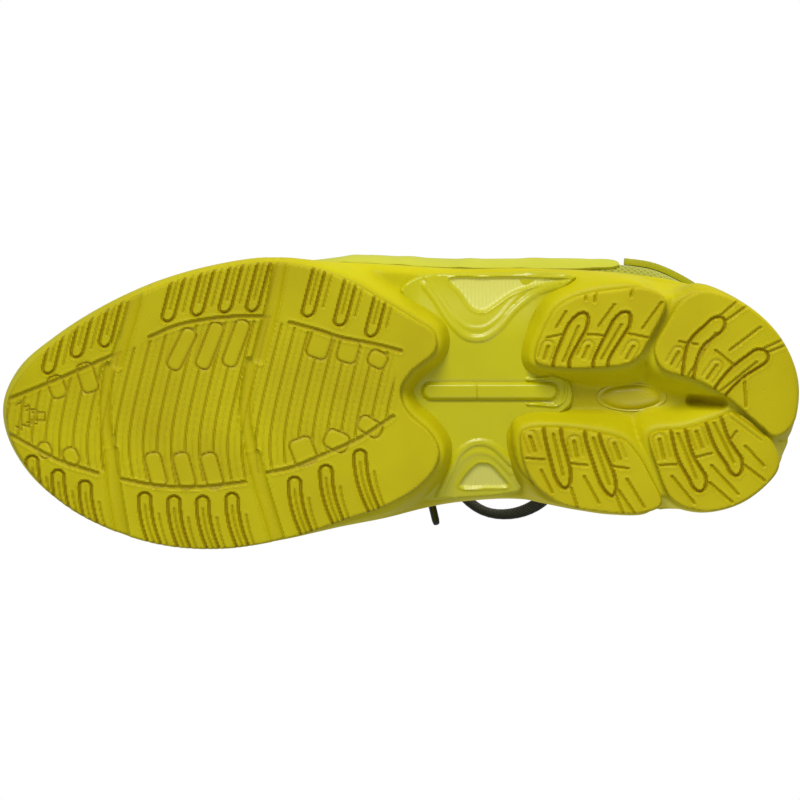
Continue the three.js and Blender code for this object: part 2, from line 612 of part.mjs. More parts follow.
// A place on the tongue's arch, lifted off it. The arch has eleven points, from the outer side.
function onTongue(s, index, lift) {
  const arch = across(s, tongueDepth(s));
  const along = arch[index + 1].clone().sub(arch[index - 1]).normalize();
  const up = THROAT_UP.clone().addScaledVector(along, -THROAT_UP.dot(along)).normalize();
  return arch[index].clone().addScaledVector(up, GAP + LACE / 2 + lift);
}
function crossing(a, b, over) {
  const [from, to] = [stationOf(a.w), stationOf(b.w)];
  const at = (share) => from + (to - from) * share;
  const lift = over ? LACE + GAP : 0;
  return [
    skin(between(at(0.2), a.side), 1, LACE_OVER + LACE / 4),
    onTongue(at(0.36), 5 - a.side, 0.9 + lift / 2),
    onTongue(at(0.5), 5, 0.2 + lift),
    onTongue(at(0.64), 5 + a.side, 0.1 + lift / 10),
    skin(between(at(0.8), b.side), 1, LACE_IN - 0.2),
  ];
}
function strand(side, over) {
  const list = threaded(eyelet(0, side));
  for (let i = 1; i < EYELETS; i++) {
    const [a, b] = [eyelet(i - 1, side * (i % 2 ? 1 : -1)), eyelet(i, side * (i % 2 ? -1 : 1))];
    list.push(...crossing(a, b, over), ...threaded(b));
  }
  const last = list.length - 1;
  const end = eyelet(EYELETS - 1, side * (EYELETS % 2 ? 1 : -1));
  return [...list.slice(0, last + 1), skin(end.w, 1, LACE_OVER + LACE / 4)];
}
// The bow: each side goes to the knot, out in a loop and back, and ends in a free end. Places are
// given from the knot's foot.
const BOW = {
  lateral: [[4, -10, 0], [0, 0, 0], [3, 12, 0], [2, 26, -2], [-8, 39, -9], [-20, 47, -15], [-31, 43, -14],
    [-26, 34, -3], [-10, 22, 5], [-3, 10, 7.4], [0, 0, 7.6], [6, -8, 9], [10, -18, 7], [12, -29, 0], [10, -39, -9]],
  medial: [[4, 10, 3], [-1, 0, 3.8], [4, -12, 4], [2, -26, 0], [0, -38, -8], [-12, -49, -18],
    [-27, -49, -18], [-38, -41, -11], [-26, -32, -4], [-10, -21, 3], [-3, -9, 9], [0, 0, 11.4],
    [8, 8, 12], [14, 17, 9], [19, 26, 2]],
};
const knot = crownOf(6.6).addScaledVector(THROAT_UP, 4);
function bowOf(side) {
  const places = BOW[side].map((p) => flat(...p).add(knot));
  return new THREE.CatmullRomCurve3(places, false, "centripetal").getPoints(2 * places.length);
}
const first = [...strand(1, true), ...bowOf("lateral")];
const second = [...strand(-1, false), ...bowOf("medial")];
const bar1 = crownOf(stationOf(eyelet(0, 1).w));
bar1.addScaledVector(THROAT_UP, GAP + LACE / 2 + 0.1);
const route = [...first.reverse(), bar1, ...second];

// A path through a list of places, with even steps from place to place.
class Route extends THREE.Curve {
  constructor(places) {
    super();
    this.places = places;
  }
  getPoint(t) {
    const at = clamp(t, 0, 1) * (this.places.length - 1);
    const i = Math.min(Math.floor(at), this.places.length - 2);
    return this.places[i].clone().lerp(this.places[i + 1], at - i);
  }
  getPointAt(t) {
    return this.getPoint(t);
  }
  getTangentAt(t) {
    return this.getTangent(t);
  }
}
function tube(places, radius, sides) {
  const shape = new THREE.Shape().absarc(0, 0, radius, 0, 2 * Math.PI);
  return solid(new THREE.ExtrudeGeometry(shape, {
    extrudePath: new Route(places),
    steps: places.length - 1,
    curveSegments: sides / 2,
    bevelEnabled: false,
  }));
}
add("shoelace", tube(route, LACE / 2, LACE_SIDES), LOOK.black);

const TIP_LENGTH = 20;
const TIP_RADIUS = 1.5;
function laceTip(end, before) {
  const along = end.clone().sub(before).normalize();
  const place = (d) => end.clone().addScaledVector(along, d);
  return tube([place(GAP), place(GAP + TIP_LENGTH)], TIP_RADIUS, 10);
}
add("lace_tip_medial", laceTip(route[0], route[1]), LOOK.tpu);
add("lace_tip_lateral", laceTip(route.at(-1), route.at(-2)), LOOK.tpu);

// A webbing loop at the back of the heel, folded and held at its foot.
const PULL_WIDTH = 12;
const PULL_THICK = 1.4;
const PULL_FOOT = 0.84; // how far up the middle rib its foot lies
const PULL_LINE = [[-1.2, 0], [-1.9, 9], [-1, 17], [2.4, 24], [1.6, 31], [-4, 34.5], [-10.5, 31],
  [-12.5, 22], [-9.5, 12], [-4.6, 3], [-2.8, 0]];
function heelPull() {
  const foot = rib(0, PULL_FOOT);
  const line = new THREE.CatmullRomCurve3(PULL_LINE.map(([x, z]) => flat(x, z)), false, "centripetal");
  const places = line.getPoints(30);
  const side = (out) => places.map((p, i) => {
    const [a, b] = [places[Math.max(0, i - 1)], places[Math.min(30, i + 1)]];
    const along = flat(b.x - a.x, b.y - a.y).normalize();
    return new THREE.Vector2(p.x + along.y * out, p.y - along.x * out);
  });
  const shape = new THREE.Shape([...side(PULL_THICK / 2), ...side(-PULL_THICK / 2).reverse()]);
  const g = new THREE.ExtrudeGeometry(shape, { depth: PULL_WIDTH, bevelEnabled: false });
  return solid(g.rotateX(Math.PI / 2).translate(foot.x, PULL_WIDTH / 2, foot.z));
}
add("heel_pull_loop", heelPull(), LOOK.black);

// The frame's origin is under the middle of the sole.
const sole = new THREE.Box3().setFromObject(shoe.getObjectByName("midsole_foam"));
const treads = new THREE.Box3().setFromObject(shoe.getObjectByName("forefoot_outsole"));
const middle = sole.union(treads).getCenter(flat(0, 0));
shoe.position.set(-middle.x, -middle.y, 0);

export default shoe;
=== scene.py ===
import json
import math

import bmesh
import bpy
import numpy as np
from mathutils import Matrix, Vector

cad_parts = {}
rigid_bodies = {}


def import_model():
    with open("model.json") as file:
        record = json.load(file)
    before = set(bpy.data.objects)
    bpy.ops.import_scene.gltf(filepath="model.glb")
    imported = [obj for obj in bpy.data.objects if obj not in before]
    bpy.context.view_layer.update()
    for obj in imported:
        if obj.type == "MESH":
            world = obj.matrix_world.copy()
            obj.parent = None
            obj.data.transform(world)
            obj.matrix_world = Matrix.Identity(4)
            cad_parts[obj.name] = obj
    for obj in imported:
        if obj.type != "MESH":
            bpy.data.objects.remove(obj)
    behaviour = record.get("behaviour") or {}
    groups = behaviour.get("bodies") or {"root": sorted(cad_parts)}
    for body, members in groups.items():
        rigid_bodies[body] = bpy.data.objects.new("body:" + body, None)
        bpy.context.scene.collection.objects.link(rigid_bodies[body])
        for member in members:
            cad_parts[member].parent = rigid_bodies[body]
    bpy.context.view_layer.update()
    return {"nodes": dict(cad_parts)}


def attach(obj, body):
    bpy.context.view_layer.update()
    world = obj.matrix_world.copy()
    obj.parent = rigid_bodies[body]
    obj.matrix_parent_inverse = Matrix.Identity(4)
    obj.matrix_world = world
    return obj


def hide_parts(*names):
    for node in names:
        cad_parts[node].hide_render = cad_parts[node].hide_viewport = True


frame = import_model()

MIDDLE = np.array([-0.222, 1.038, 0.0])  # from the shoe's axes to the frame's origin


def placed(points):
    """Millimetres on the shoe's axes as metres in the frame."""
    return (np.asarray(points, float) + MIDDLE) * 0.001


# ---- Camera, light and floor --------------------------------------------------------------------

TILT = math.radians(4)  # the sole leans back from the lens
LENS_AWAY = 2.6
VIEW_WIDTH = 0.3004
scene = bpy.context.scene


def set_camera():
    data = bpy.data.cameras.new("sole_view")
    data.lens = data.sensor_width * LENS_AWAY / VIEW_WIDTH
    data.clip_end = 20
    camera = bpy.data.objects.new("sole_view", data)
    scene.collection.objects.link(camera)
    look = Vector((0, -math.sin(TILT), math.cos(TILT)))
    up = Vector((0, math.cos(TILT), math.sin(TILT)))
    right = look.cross(up)
    camera.matrix_world = Matrix.Translation(Vector((0, 0.00145, 0.004)) - look * LENS_AWAY) @ Matrix(
        (right, up, -look)).transposed().to_4x4()
    scene.camera = camera


def softbox(name, place, size, watts, aim=(0, 0, 0.03), glint=True):
    data = bpy.data.lights.new(name, "AREA")
    data.shape, data.size, data.energy = "DISK", size, watts
    lamp = bpy.data.objects.new(name, data)
    lamp.location = place
    lamp.rotation_euler = (Vector(aim) - Vector(place)).to_track_quat("-Z", "Y").to_euler()
    lamp.visible_glossy = glint
    scene.collection.objects.link(lamp)


def node(tree, kind, inputs=None, **settings):
    """Adds a node with its settings, and sets or links its sockets."""
    made = tree.nodes.new(kind)
    for key, value in settings.items():
        setattr(made, key, value)
    for key, value in (inputs or {}).items():
        if isinstance(value, bpy.types.NodeSocket):
            tree.links.new(value, made.inputs[key])
        else:
            made.inputs[key].default_value = value
    return made


def linear(code):
    """A colour written as sRGB hex, as the linear colour that a socket takes."""
    parts = [int(code[i:i + 2], 16) / 255 for i in (0, 2, 4)]
    return tuple(p / 12.92 if p <= 0.04045 else ((p + 0.055) / 1.055) ** 2.4 for p in parts) + (1,)


def studio():
    set_camera()
    softbox("sole_key", (0.3, 1.9, -1.6), 1.1, 52)
    softbox("sole_fill", (-0.7, -1.2, -2.0), 1.8, 9)
    softbox("top_key", (0.9, -1.2, 2.0), 1.4, 52, glint=False)
    softbox("top_fill", (-1.3, 1.4, 1.2), 1.6, 32, glint=False)
    world = bpy.data.worlds.new("studio")
    scene.world = world
    world.use_nodes = True
    tree = world.node_tree
    tree.nodes.clear()
    seen = node(tree, "ShaderNodeLightPath").outputs["Is Camera Ray"]
    round_about = node(tree, "ShaderNodeBackground", {"Color": linear("f4f6f8"), "Strength": 0.4})
    behind = node(tree, "ShaderNodeBackground", {"Color": linear("ffffff"), "Strength": 1.0})
    mixed = node(tree, "ShaderNodeMixShader", {0: seen, 1: round_about.outputs[0], 2: behind.outputs[0]})
    node(tree, "ShaderNodeOutputWorld", {"Surface": mixed.outputs[0]})
    scene.view_settings.view_transform = "Standard"
    scene.view_settings.look = "None"


def floor():
    """A pale floor that is clear from below, where the camera stands."""
    bm = bmesh.new()
    bmesh.ops.create_grid(bm, x_segments=1, y_segments=1, size=3)
    bmesh.ops.translate(bm, verts=bm.verts, vec=(0, 0, -0.0004))
    mesh = bpy.data.meshes.new("studio_floor")
    bm.to_mesh(mesh)
    bm.free()
    mat = bpy.data.materials.new("pale_floor")
    mat.use_nodes = True
    tree = mat.node_tree
    tree.nodes.clear()
    below = node(tree, "ShaderNodeNewGeometry").outputs["Backfacing"]
    paint = node(tree, "ShaderNodeBsdfDiffuse", {"Color": linear("e9e9e7")})
    clear = node(tree, "ShaderNodeBsdfTransparent")
    mixed = node(tree, "ShaderNodeMixShader", {0: below, 1: paint.outputs[0], 2: clear.outputs[0]})
    node(tree, "ShaderNodeOutputMaterial", {"Surface": mixed.outputs[0]})
    mesh.materials.append(mat)
    plane = bpy.data.objects.new("studio_floor", mesh)
    scene.collection.objects.link(plane)
    plane.visible_shadow = plane.visible_diffuse = plane.visible_glossy = False


studio()
floor()

# ---- Dimensions, as in the part -----------------------------------------------------------------

GAP = 0.3
TREAD_THICK = 4
SLAB_BOTTOM = 14
SHANK_THICK = 2.2
FABRIC = 1.6
OVERLAY = 1.2
STIFFENER = 1.0
LINING = 1.0
COLLAR_PAD = 4.2
LACE = 3.2
EYELETS = 6
EYELET_EDGE = 7.5
LINING_DEPTH = FABRIC + STIFFENER + 2 * GAP


def ease(v, start, end):
    t = np.clip((np.asarray(v, float) - start) / (end - start), 0, 1)
    return t * t * (3 - 2 * t)


def ground(x):
    return 17 * np.maximum(0, (x - 70) / 80) ** 2 + 7 * np.maximum(0, (-x - 118) / 32) ** 2


def footbed(x):
    return 33 - 12 * ease(x, -60, 55) + 12.75 * np.maximum(0, (x - 70) / 80) ** 2


def lip_top(x):
    return footbed(x) + 7 + 5 * ease(-x, 95, 145)


FOREFOOT = [
    (-13.5, -24), (-7, -32), (6, -39.5), (24, -45), (44, -50.5), (66, -54), (88, -53),
    (108, -47.5), (125, -39), (138.5, -27), (146.5, -13), (147, -1), (141, 9.5), (128, 21.5),
    (110, 33), (90, 42), (68, 48.5), (45, 51), (22, 46), (7.5, 38.5), (-5, 31), (-13, 25.5),
    (-13, 19), (-4, 11), (0, 4), (-3, -4), (-11, -11.5), (-14.5, -17.5)]
HEEL_PADS = {
    "lateral_front": [
        (-51, 14.5), (-50.5, 19), (-54, 28), (-58, 35), (-66, 39.5), (-80, 42), (-93, 42.5),
        (-99.5, 38), (-93.5, 24), (-89.5, 17), (-84.5, 14)],
    "lateral_rear": [
        (-122.5, 1.5), (-111, 8), (-98, 12.5), (-95, 19.5), (-99.5, 29), (-105, 37.5), (-113, 41),
        (-125, 37), (-136, 29.5), (-144, 19), (-148, 6), (-146.5, -8), (-140.5, -12)],
    "medial_rear": [
        (-124.5, -4), (-137, -13.5), (-141, -24), (-136, -31), (-126, -37.5), (-112, -40.5),
        (-102, -37), (-96, -24), (-93.5, -12.5), (-107, -10), (-118, -6.5)],
    "medial_front": [
        (-46, -11), (-45.5, -20), (-49.5, -30), (-59, -38), (-75, -41.5), (-91, -42), (-98, -38.5),
        (-94, -28), (-89, -19.5), (-83, -14)]}


# ---- Plan curves --------------------------------------------------------------------------------

def centripetal(points, count, closed=True):
    """A smooth curve through a few points, with count places for each of its stretches."""
    p = np.asarray(points, float)
    n = len(p)
    if closed:
        ring = np.vstack([p[-1], p, p[0], p[1]])
    else:
        ring = np.vstack([2 * p[0] - p[1], p, 2 * p[-1] - p[-2]])
    places = []
    for i in range(1, n + 1 if closed else n):
        a, b, c, d = ring[i - 1:i + 3]
        steps = [max(1e-4, np.linalg.norm(q - r)) ** 0.5 for q, r in ((b, a), (c, b), (d, c))]
        t1 = ((b - a) / steps[0] - (c - a) / (steps[0] + steps[1]) + (c - b) / steps[1]) * steps[1]
        t2 = ((c - b) / steps[1] - (d - b) / (steps[1] + steps[2]) + (d - c) / steps[2]) * steps[1]
        for u in np.arange(count) / count:
            places.append(b + t1 * u + (3 * (c - b) - 2 * t1 - t2) * u * u
                          + (2 * (b - c) + t1 + t2) * u ** 3)
    if not closed:
        places.append(p[-1])
    return np.array(places)


def nearest(points, line, closed=False):
    """How far each point lies from a line of places, the nearest place and the way along there."""
    ends = np.vstack([line, line[:1]]) if closed else np.asarray(line, float)
    best = np.full(len(points), 1e9)
    place = np.zeros((len(points), 2))
    along = np.zeros((len(points), 2))
    for a, b in zip(ends[:-1], ends[1:]):
        d = b - a
        t = np.clip(((points - a) @ d) / max(d @ d, 1e-12), 0, 1)
        q = a + t[:, None] * d
        gone = np.hypot(*(points - q).T)
        closer = gone < best
        best[closer] = gone[closer]
        place[closer] = q[closer]
        along[closer] = d / max(math.hypot(*d), 1e-9)
    return best, place, along


def inside(points, edge):
    """Which points lie inside a closed outline."""
    x, y = points.T
    hit = np.zeros(len(points), bool)
    for (ax, ay), (bx, by) in zip(edge, np.roll(edge, -1, 0)):
        if ay == by:
            continue
        spans = (ay > y) != (by > y)
        hit ^= spans & (x < (bx - ax) * (y - ay) / (by - ay) + ax)
    return hit


# ---- Building meshes ----------------------------------------------------------------------------

def trimmed_grid(edge, cell, keep=None):
    """A flat grid inside an outline, with its border drawn onto the outline."""
    low, high = edge.min(0) - cell, edge.max(0) + cell
    count = np.ceil((high - low) / cell).astype(int)
    bm = bmesh.new()
    bmesh.ops.create_grid(bm, x_segments=int(count[0]), y_segments=int(count[1]), size=0.5)
    bmesh.ops.scale(bm, verts=bm.verts, vec=(high[0] - low[0], high[1] - low[1], 1))
    bmesh.ops.translate(bm, verts=bm.verts, vec=(*(low + high) / 2, 0))
    faces = list(bm.faces)
    centres = np.array([f.calc_center_median()[:2] for f in faces])
    wanted = inside(centres, edge)
    if keep is not None:
        wanted &= keep(centres)
    bmesh.ops.delete(bm, geom=[f for f, w in zip(faces, wanted) if not w], context="FACES")
    border = [v for v in bm.verts if v.is_boundary]
    at = np.array([v.co[:2] for v in border])
    gone, place, _ = nearest(at, edge, True)
    for v, q, d in zip(border, place, gone):
        if d < 1.5 * cell:
            v.co.xy = q
    return bm


def raised_border(bm, edge, rows):
    """Extrudes the border up through rows of (outwards, height), and returns the last ring."""
    ring = [e for e in bm.edges if e.is_boundary]
    home = {v: v.co.copy() for e in ring for v in e.verts}
    at = np.array([c[:2] for c in home.values()])
    _, _, along = nearest(at, edge, True)
    out = dict(zip(home, np.stack([along[:, 1], -along[:, 0]], 1)))
    old = {v: v for v in home}
    for row in rows:
        made = bmesh.ops.extrude_edge_only(bm, edges=ring)["geom"]
        fresh = [g for g in made if isinstance(g, bmesh.types.BMVert)]
        ring = [g for g in made if isinstance(g, bmesh.types.BMEdge) and g.is_boundary]
        newest = {}
        for v in fresh:
            before = next(e.other_vert(v) for e in v.link_edges if e.other_vert(v) in old)
            newest[v] = old[before]
        base = np.array([home[newest[v]][:] for v in fresh])
        away = np.array([out[newest[v]] for v in fresh])
        for v, place in zip(fresh, row(base, away)):
            v.co = place
        old = newest
    return ring


def piece(name, bm, body, replaces=(), sharp=40, turned=True):
    """A finished mesh as an object that rides on a body."""
    if turned:
        bmesh.ops.recalc_face_normals(bm, faces=bm.faces)
    for f in bm.faces:
        f.smooth = True
    mesh = bpy.data.meshes.new(name)
    bm.to_mesh(mesh)
    bm.free()
    co = np.empty(len(mesh.vertices) * 3)
    mesh.vertices.foreach_get("co", co)
    mesh.vertices.foreach_set("co", placed(co.reshape(-1, 3)).ravel())
    mesh.update()
    mesh.set_sharp_from_angle(angle=math.radians(sharp))
    obj = bpy.data.objects.new(name, mesh)
    scene.collection.objects.link(obj)
    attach(obj, body)
    if replaces:
        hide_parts(*replaces)
    return obj


def coords_of(obj):
    co = np.empty(len(obj.data.vertices) * 3)
    obj.data.vertices.foreach_get("co", co)
    return co.reshape(-1, 3) * 1000 - MIDDLE


def tagged(obj, name, values):
    """Keeps a number for each vertex, which a material reads."""
    layer = obj.data.attributes.new(name, "FLOAT", "POINT")
    layer.data.foreach_set("value", np.asarray(values, float))


# ---- Materials ----------------------------------------------------------------------------------

def finish(name, colour, roughness, **sockets):
    """A material with its Principled shader, and its node tree to add a pattern to."""
    mat = bpy.data.materials.new(name)
    mat.use_nodes = True
    tree = mat.node_tree
    shader = tree.nodes["Principled BSDF"]
    shader.inputs["Base Color"].default_value = linear(colour)
    shader.inputs["Roughness"].default_value = roughness
    for key, value in sockets.items():
        shader.inputs[key.replace("_", " ")].default_value = value
    return mat, tree, shader


def object_coords(tree):
    return node(tree, "ShaderNodeTexCoord").outputs["Object"]


def bumped(tree, shader, height, strength, distance):
    made = node(tree, "ShaderNodeBump", {"Height": height, "Strength": strength, "Distance": distance})
    tree.links.new(made.outputs[0], shader.inputs["Normal"])


def toned(tree, low, high, factor):
    """A colour that runs from low to high with a factor."""
    ramp = node(tree, "ShaderNodeMix", {0: factor, 6: linear(low), 7: linear(high)}, data_type="RGBA")
    return ramp.outputs[2]


def worked(tree, a, b, operation):
    return node(tree, "ShaderNodeMath", {0: a, 1: b}, operation=operation).outputs[0]


def rubber(name, deep, plain, ribs=0.9):
    """Blown rubber, moulded: satin, with fine slanting ribs from the mould and painted shade in its grooves.
    """
    mat, tree, shader = finish(name, plain, 0.52, IOR=1.5, Specular_IOR_Level=0.2)
    at = object_coords(tree)
    turned = node(tree, "ShaderNodeMapping", {"Vector": at, "Rotation": (0, 0, math.radians(52))})
    # Ribs 0.9 mm apart; a wave's period is 0.314 over its scale.
    wave = node(tree, "ShaderNodeTexWave", {"Vector": turned.outputs[0], "Scale": 314 / ribs})
    grit = node(tree, "ShaderNodeTexNoise", {"Vector": at, "Scale": 2200.0, "Detail": 2.0})
    cloud = node(tree, "ShaderNodeTexNoise", {"Vector": at, "Scale": 26.0, "Detail": 3.0})
    groove = node(tree, "ShaderNodeAttribute", attribute_name="groove").outputs["Fac"]
    patchy = node(tree, "ShaderNodeMapRange", {"Value": cloud.outputs["Fac"], 1: 0.3, 2: 0.7}).outputs[0]
    worn = toned(tree, deep, plain, patchy)
    # Painted shade: the groove attribute darkens the colour in the grooves towards 836400.
    painted_shade = node(tree, "ShaderNodeMix", {0: groove, 6: worn, 7: linear("836400")}, data_type="RGBA")
    tree.links.new(painted_shade.outputs[2], shader.inputs["Base Color"])
    rough = node(tree, "ShaderNodeMapRange", {"Value": cloud.outputs["Fac"], 3: 0.46, 4: 0.6}).outputs[0]
    tree.links.new(rough, shader.inputs["Roughness"])
    height = worked(tree, wave.outputs["Fac"], worked(tree, grit.outputs["Fac"], 0.5, "MULTIPLY"), "ADD")
    bumped(tree, shader, height, 0.3, 0.00012)
    return mat


def foam():
    """EVA foam, pressed in a mould: a satin skin with a very fine grain, soft clouds of tone and painted
    shade in its grooves.
    """
    mat, tree, shader = finish("pressed_eva_foam", "c0b600", 0.5, IOR=1.48, Specular_IOR_Level=0.2,
                               Subsurface_Weight=0.06, Subsurface_Scale=0.004)
    at = object_coords(tree)
    grain = node(tree, "ShaderNodeTexNoise", {"Vector": at, "Scale": 1500.0, "Detail": 3.0})
    cloud = node(tree, "ShaderNodeTexNoise", {"Vector": at, "Scale": 22.0, "Detail": 3.0})
    part = node(tree, "ShaderNodeMapRange", {"Value": cloud.outputs["Fac"], 1: 0.3, 2: 0.7}).outputs[0]
    groove = node(tree, "ShaderNodeAttribute", attribute_name="groove").outputs["Fac"]
    plain = toned(tree, "b8ac00", "c6be04", part)
    # Painted shade: the groove attribute darkens the grooves and the cavity's end towards 8d7200.
    painted_shade = node(tree, "ShaderNodeMix", {0: groove, 6: plain, 7: linear("8d7200")}, data_type="RGBA")
    tree.links.new(painted_shade.outputs[2], shader.inputs["Base Color"])
    bumped(tree, shader, grain.outputs["Fac"], 0.25, 0.0001)
    return mat


def arch_plastic():
    """Injection-moulded TPU: a hard gloss that picks up the lamps, with faint flow marks and painted shade
    in its grooves.
    """
    mat, tree, shader = finish("gloss_tpu", "b8b20a", 0.34, IOR=1.5, Specular_IOR_Level=0.35,
                               Coat_Weight=0.1, Coat_Roughness=0.2)
    at = object_coords(tree)
    flow = node(tree, "ShaderNodeTexNoise", {"Vector": at, "Scale": 40.0, "Detail": 2.0})
    window = node(tree, "ShaderNodeAttribute", attribute_name="window").outputs["Fac"]
    plain = toned(tree, "b4ae00", "c4c000", flow.outputs["Fac"])
    pale = node(tree, "ShaderNodeMix", {0: window, 6: plain, 7: linear("d2cf5e")}, data_type="RGBA")
    # Painted shade: the groove attribute darkens the grooves and the split line towards 8f7c00.
    groove = node(tree, "ShaderNodeAttribute", attribute_name="groove").outputs["Fac"]
    painted_shade = node(tree, "ShaderNodeMix", {0: groove, 6: pale.outputs[2], 7: linear("8f7c00")},
                data_type="RGBA")
    tree.links.new(painted_shade.outputs[2], shader.inputs["Base Color"])
    rough = node(tree, "ShaderNodeMapRange", {"Value": window, 3: 0.34, 4: 0.42}).outputs[0]
    tree.links.new(rough, shader.inputs["Roughness"])
    ribbed = node(tree, "ShaderNodeTexWave", {"Vector": at, "Scale": 220.0}, bands_direction="X")
    bumped(tree, shader, worked(tree, ribbed.outputs["Fac"], window, "MULTIPLY"), 0.4, 0.0003)
    return mat


def gel():
    """Cast gel, slightly see-through in the part; drawn as an opaque, smooth pad with a wet gloss."""
    mat, tree, shader = finish("cast_gel", "b8b016", 0.34, IOR=1.45, Coat_Weight=0.15, Coat_Roughness=0.2)
    at = object_coords(tree)
    cloud = node(tree, "ShaderNodeTexNoise", {"Vector": at, "Scale": 90.0, "Detail": 1.0})
    tree.links.new(toned(tree, "b4a800", "c4b808", cloud.outputs["Fac"]),
                   shader.inputs["Base Color"])
    bumped(tree, shader, cloud.outputs["Fac"], 0.08, 0.0004)
    return mat


# ---- The sole's reliefs -------------------------------------------------------------------------

class Relief:
    """Grooves, raised lines and smooth pads, gathered and then worked out over a grid, with painted shade
    for the grooves.
    """

    def __init__(self):
        self.cuts = []
        self.lands = []

    def cut(self, line, wide=1.3, deep=1.1, painted_shade=0.75, lip=0.0):
        """A round-bottomed groove along a line, with raised lips; a negative depth raises a line. The fourth
        number says how dark the groove is painted, as shade.
        """
        self.cuts.append((np.asarray(line, float), wide, deep, painted_shade, lip))

    def land(self, a, b, wide, corner=2.0):
        """A smooth, slightly domed pad with rounded corners, lying from a to b."""
        self.lands.append((np.array(a, float), np.array(b, float), wide, min(corner, wide / 2)))

    def over(self, points, texture=None):
        """Depth and painted shade at each point, with a texture everywhere but on the lands."""
        depth, painted_shade = texture(points) if texture else (np.zeros(len(points)), np.zeros(len(points)))
        for a, b, wide, corner in self.lands:
            length = np.linalg.norm(b - a)
            way, off = (b - a) / length, points - (a + b) / 2
            beyond = np.abs(np.stack([off @ way, off @ (-way[1], way[0])], 1))
            beyond = np.maximum(beyond - ((length + wide) / 2 - corner, wide / 2 - corner), 0)
            gone = np.linalg.norm(beyond, axis=1) - corner
            clear = ease(gone, 0.3, 0.9)
            depth, painted_shade = depth * clear - 0.3 * ease(-gone, 0.2, corner), painted_shade * clear
            # Each pad's rim is a groove, painted darker as shade.
            rim = np.clip(1 - np.abs(gone - 0.3) / 0.6, 0, 1)
            depth, painted_shade = np.maximum(depth, rim * 0.8), np.maximum(painted_shade, rim * 0.75)
        raised = np.zeros(len(points))
        # Each cut's tone is its painted shade: the colour is painted darker along the groove, most at its
        # middle.
        for line, wide, deep, tone, lip in self.cuts:
            low, high = line.min(0) - wide - 1, line.max(0) + wide + 1
            near = ((points >= low) & (points <= high)).all(1)
            if not near.any():
                continue
            gone, _, _ = nearest(points[near], line)
            share = np.sqrt(np.clip(1 - (gone / (wide / 2)) ** 2, 0, 1))
            if deep < 0:
                depth[near] = np.where(share > 0, np.minimum(depth[near], deep * share), depth[near])
            else:
                depth[near] = np.maximum(depth[near], deep * share)
            painted_shade[near] = np.maximum(painted_shade[near], tone * share)
            raised[near] = np.maximum(raised[near], lip * np.clip(1 - np.abs(gone - wide / 2 - 0.55) / 0.55,
                                                                  0, 1))
        return np.where(depth < 0.1, depth - raised, depth), painted_shade


def loop_end(left, right, tip):
    """A U groove: down one leg, round its tip and up the other."""
    left, right, tip = (np.asarray(q, float) for q in (left, right, tip))
    middle, half = (left[-1] + right[-1]) / 2, (right[-1] - left[-1]) / 2
    reach = tip - middle
    bend = [middle - half * math.cos(t) + reach * math.sin(t) for t in np.linspace(0, math.pi, 9)[1:-1]]
    return np.vstack([left, bend, right[::-1]])


def bow(y):
    """How far a cross groove of the forefoot curves back to the heel."""
    return np.hypot(3, 0.27 * (np.asarray(y, float) + 17)) - 3


def slope_of_bow(y):
    q = 0.27 * (np.asarray(y, float) + 17)
    return 0.27 * q / np.hypot(3, q)


LATERAL_SEAM = [
    [(149, -0.8), (127, 8.5), (105, 18.4)],
    [(94, 24), (85, 28), (75, 30.4), (62, 31.8), (49, 31.9)],
    [(41.5, 29.6), (32, 27), (22.7, 24), (10, 21.5), (0, 19)]]
MEDIAL_SEAM = [
    [(149, -12.8), (138, -18.5), (128.6, -23), (114, -27.4)],
    [(104.7, -29.5), (95, -31.3), (85.5, -32.3), (72, -32), (58.4, -30.3)],
    [(50, -26.8), (40.5, -24.8), (28.7, -19.9), (15.6, -14), (2.8, -5.6)]]
# Hairpins of the outer strip: where each crosses the middle line, and how far in it reaches.
LATERAL_HAIRPINS = [
    (118.9, 20.3), (128.6, 16.1), (137.8, 9.8), (97.6, 30), (87.3, 32.3), (77.1, 33.4), (67, 33.8),
    (45.6, 31.9), (32.7, 28.5), (19.9, 24.4)]
# And those of the inner strip, by their tips.
MEDIAL_HAIRPINS = [
    (138.9, -21.4), (129, -26.5), (118.7, -30.3), (96.1, -34.4), (85.1, -35.6), (74.3, -35.6),
    (63.3, -34.5), (39.8, -28.4), (28, -24), (15.2, -18.2)]
# The smooth flush pads of the middle field: from, to and width.
PILLS = [
    ((79.6, 24.6), (84.6, 14.6), 5), ((69.2, 26.8), (73.8, 15), 5), ((59.4, 27.8), (63.8, 15.8), 5),
    ((92.8, -22.4), (91, -29.2), 5.6), ((82.2, -22.4), (80.2, -29.8), 5.6),
    ((71.8, -22.4), (69.8, -29.6), 5.6),
    ((30, 22.6), (30.8, 20.2), 7.4), ((19.4, 19.8), (19.8, 18.4), 7), ((9, 16), (8.2, 15.6), 5.6),
    ((36.8, -18), (36.2, -19.6), 8), ((24.9, -14.4), (23.1, -15.2), 6.6), ((12.9, -8.6), (10, -10.4), 5.4),
    ((118.4, 10.8), (117, 6.2), 5.8), ((129.8, 6), (128.9, 3.6), 5.4),
    ((134.3, -18.6), (133.8, -19.6), 4.4), ((124.3, -20.8), (123.7, -22), 5)]
# The two flex channels across the forefoot, outer side to middle to inner side, as centre lines.
FLEX = [
    [[(96.4, 56), (100.8, 34), (107, 14)], [(109.4, 13), (111, -3), (109.6, -17)],
     [(108.7, -19), (107.4, -33), (104.2, -52)]],
    [[(44.6, 56), (48.2, 36), (53.4, 16.4)], [(56.2, 15), (58.4, -3), (56.2, -17.8)],
     [(55.2, -20), (51.8, -33), (46, -52)]]]


HAIRPIN_HALF = 2.3  # from a hairpin's middle to each leg
NEIGHBOUR = 5.1  # from a hairpin's middle to the single groove beside it
ARC_PITCH = 5.3  # from one deep cross groove to the next


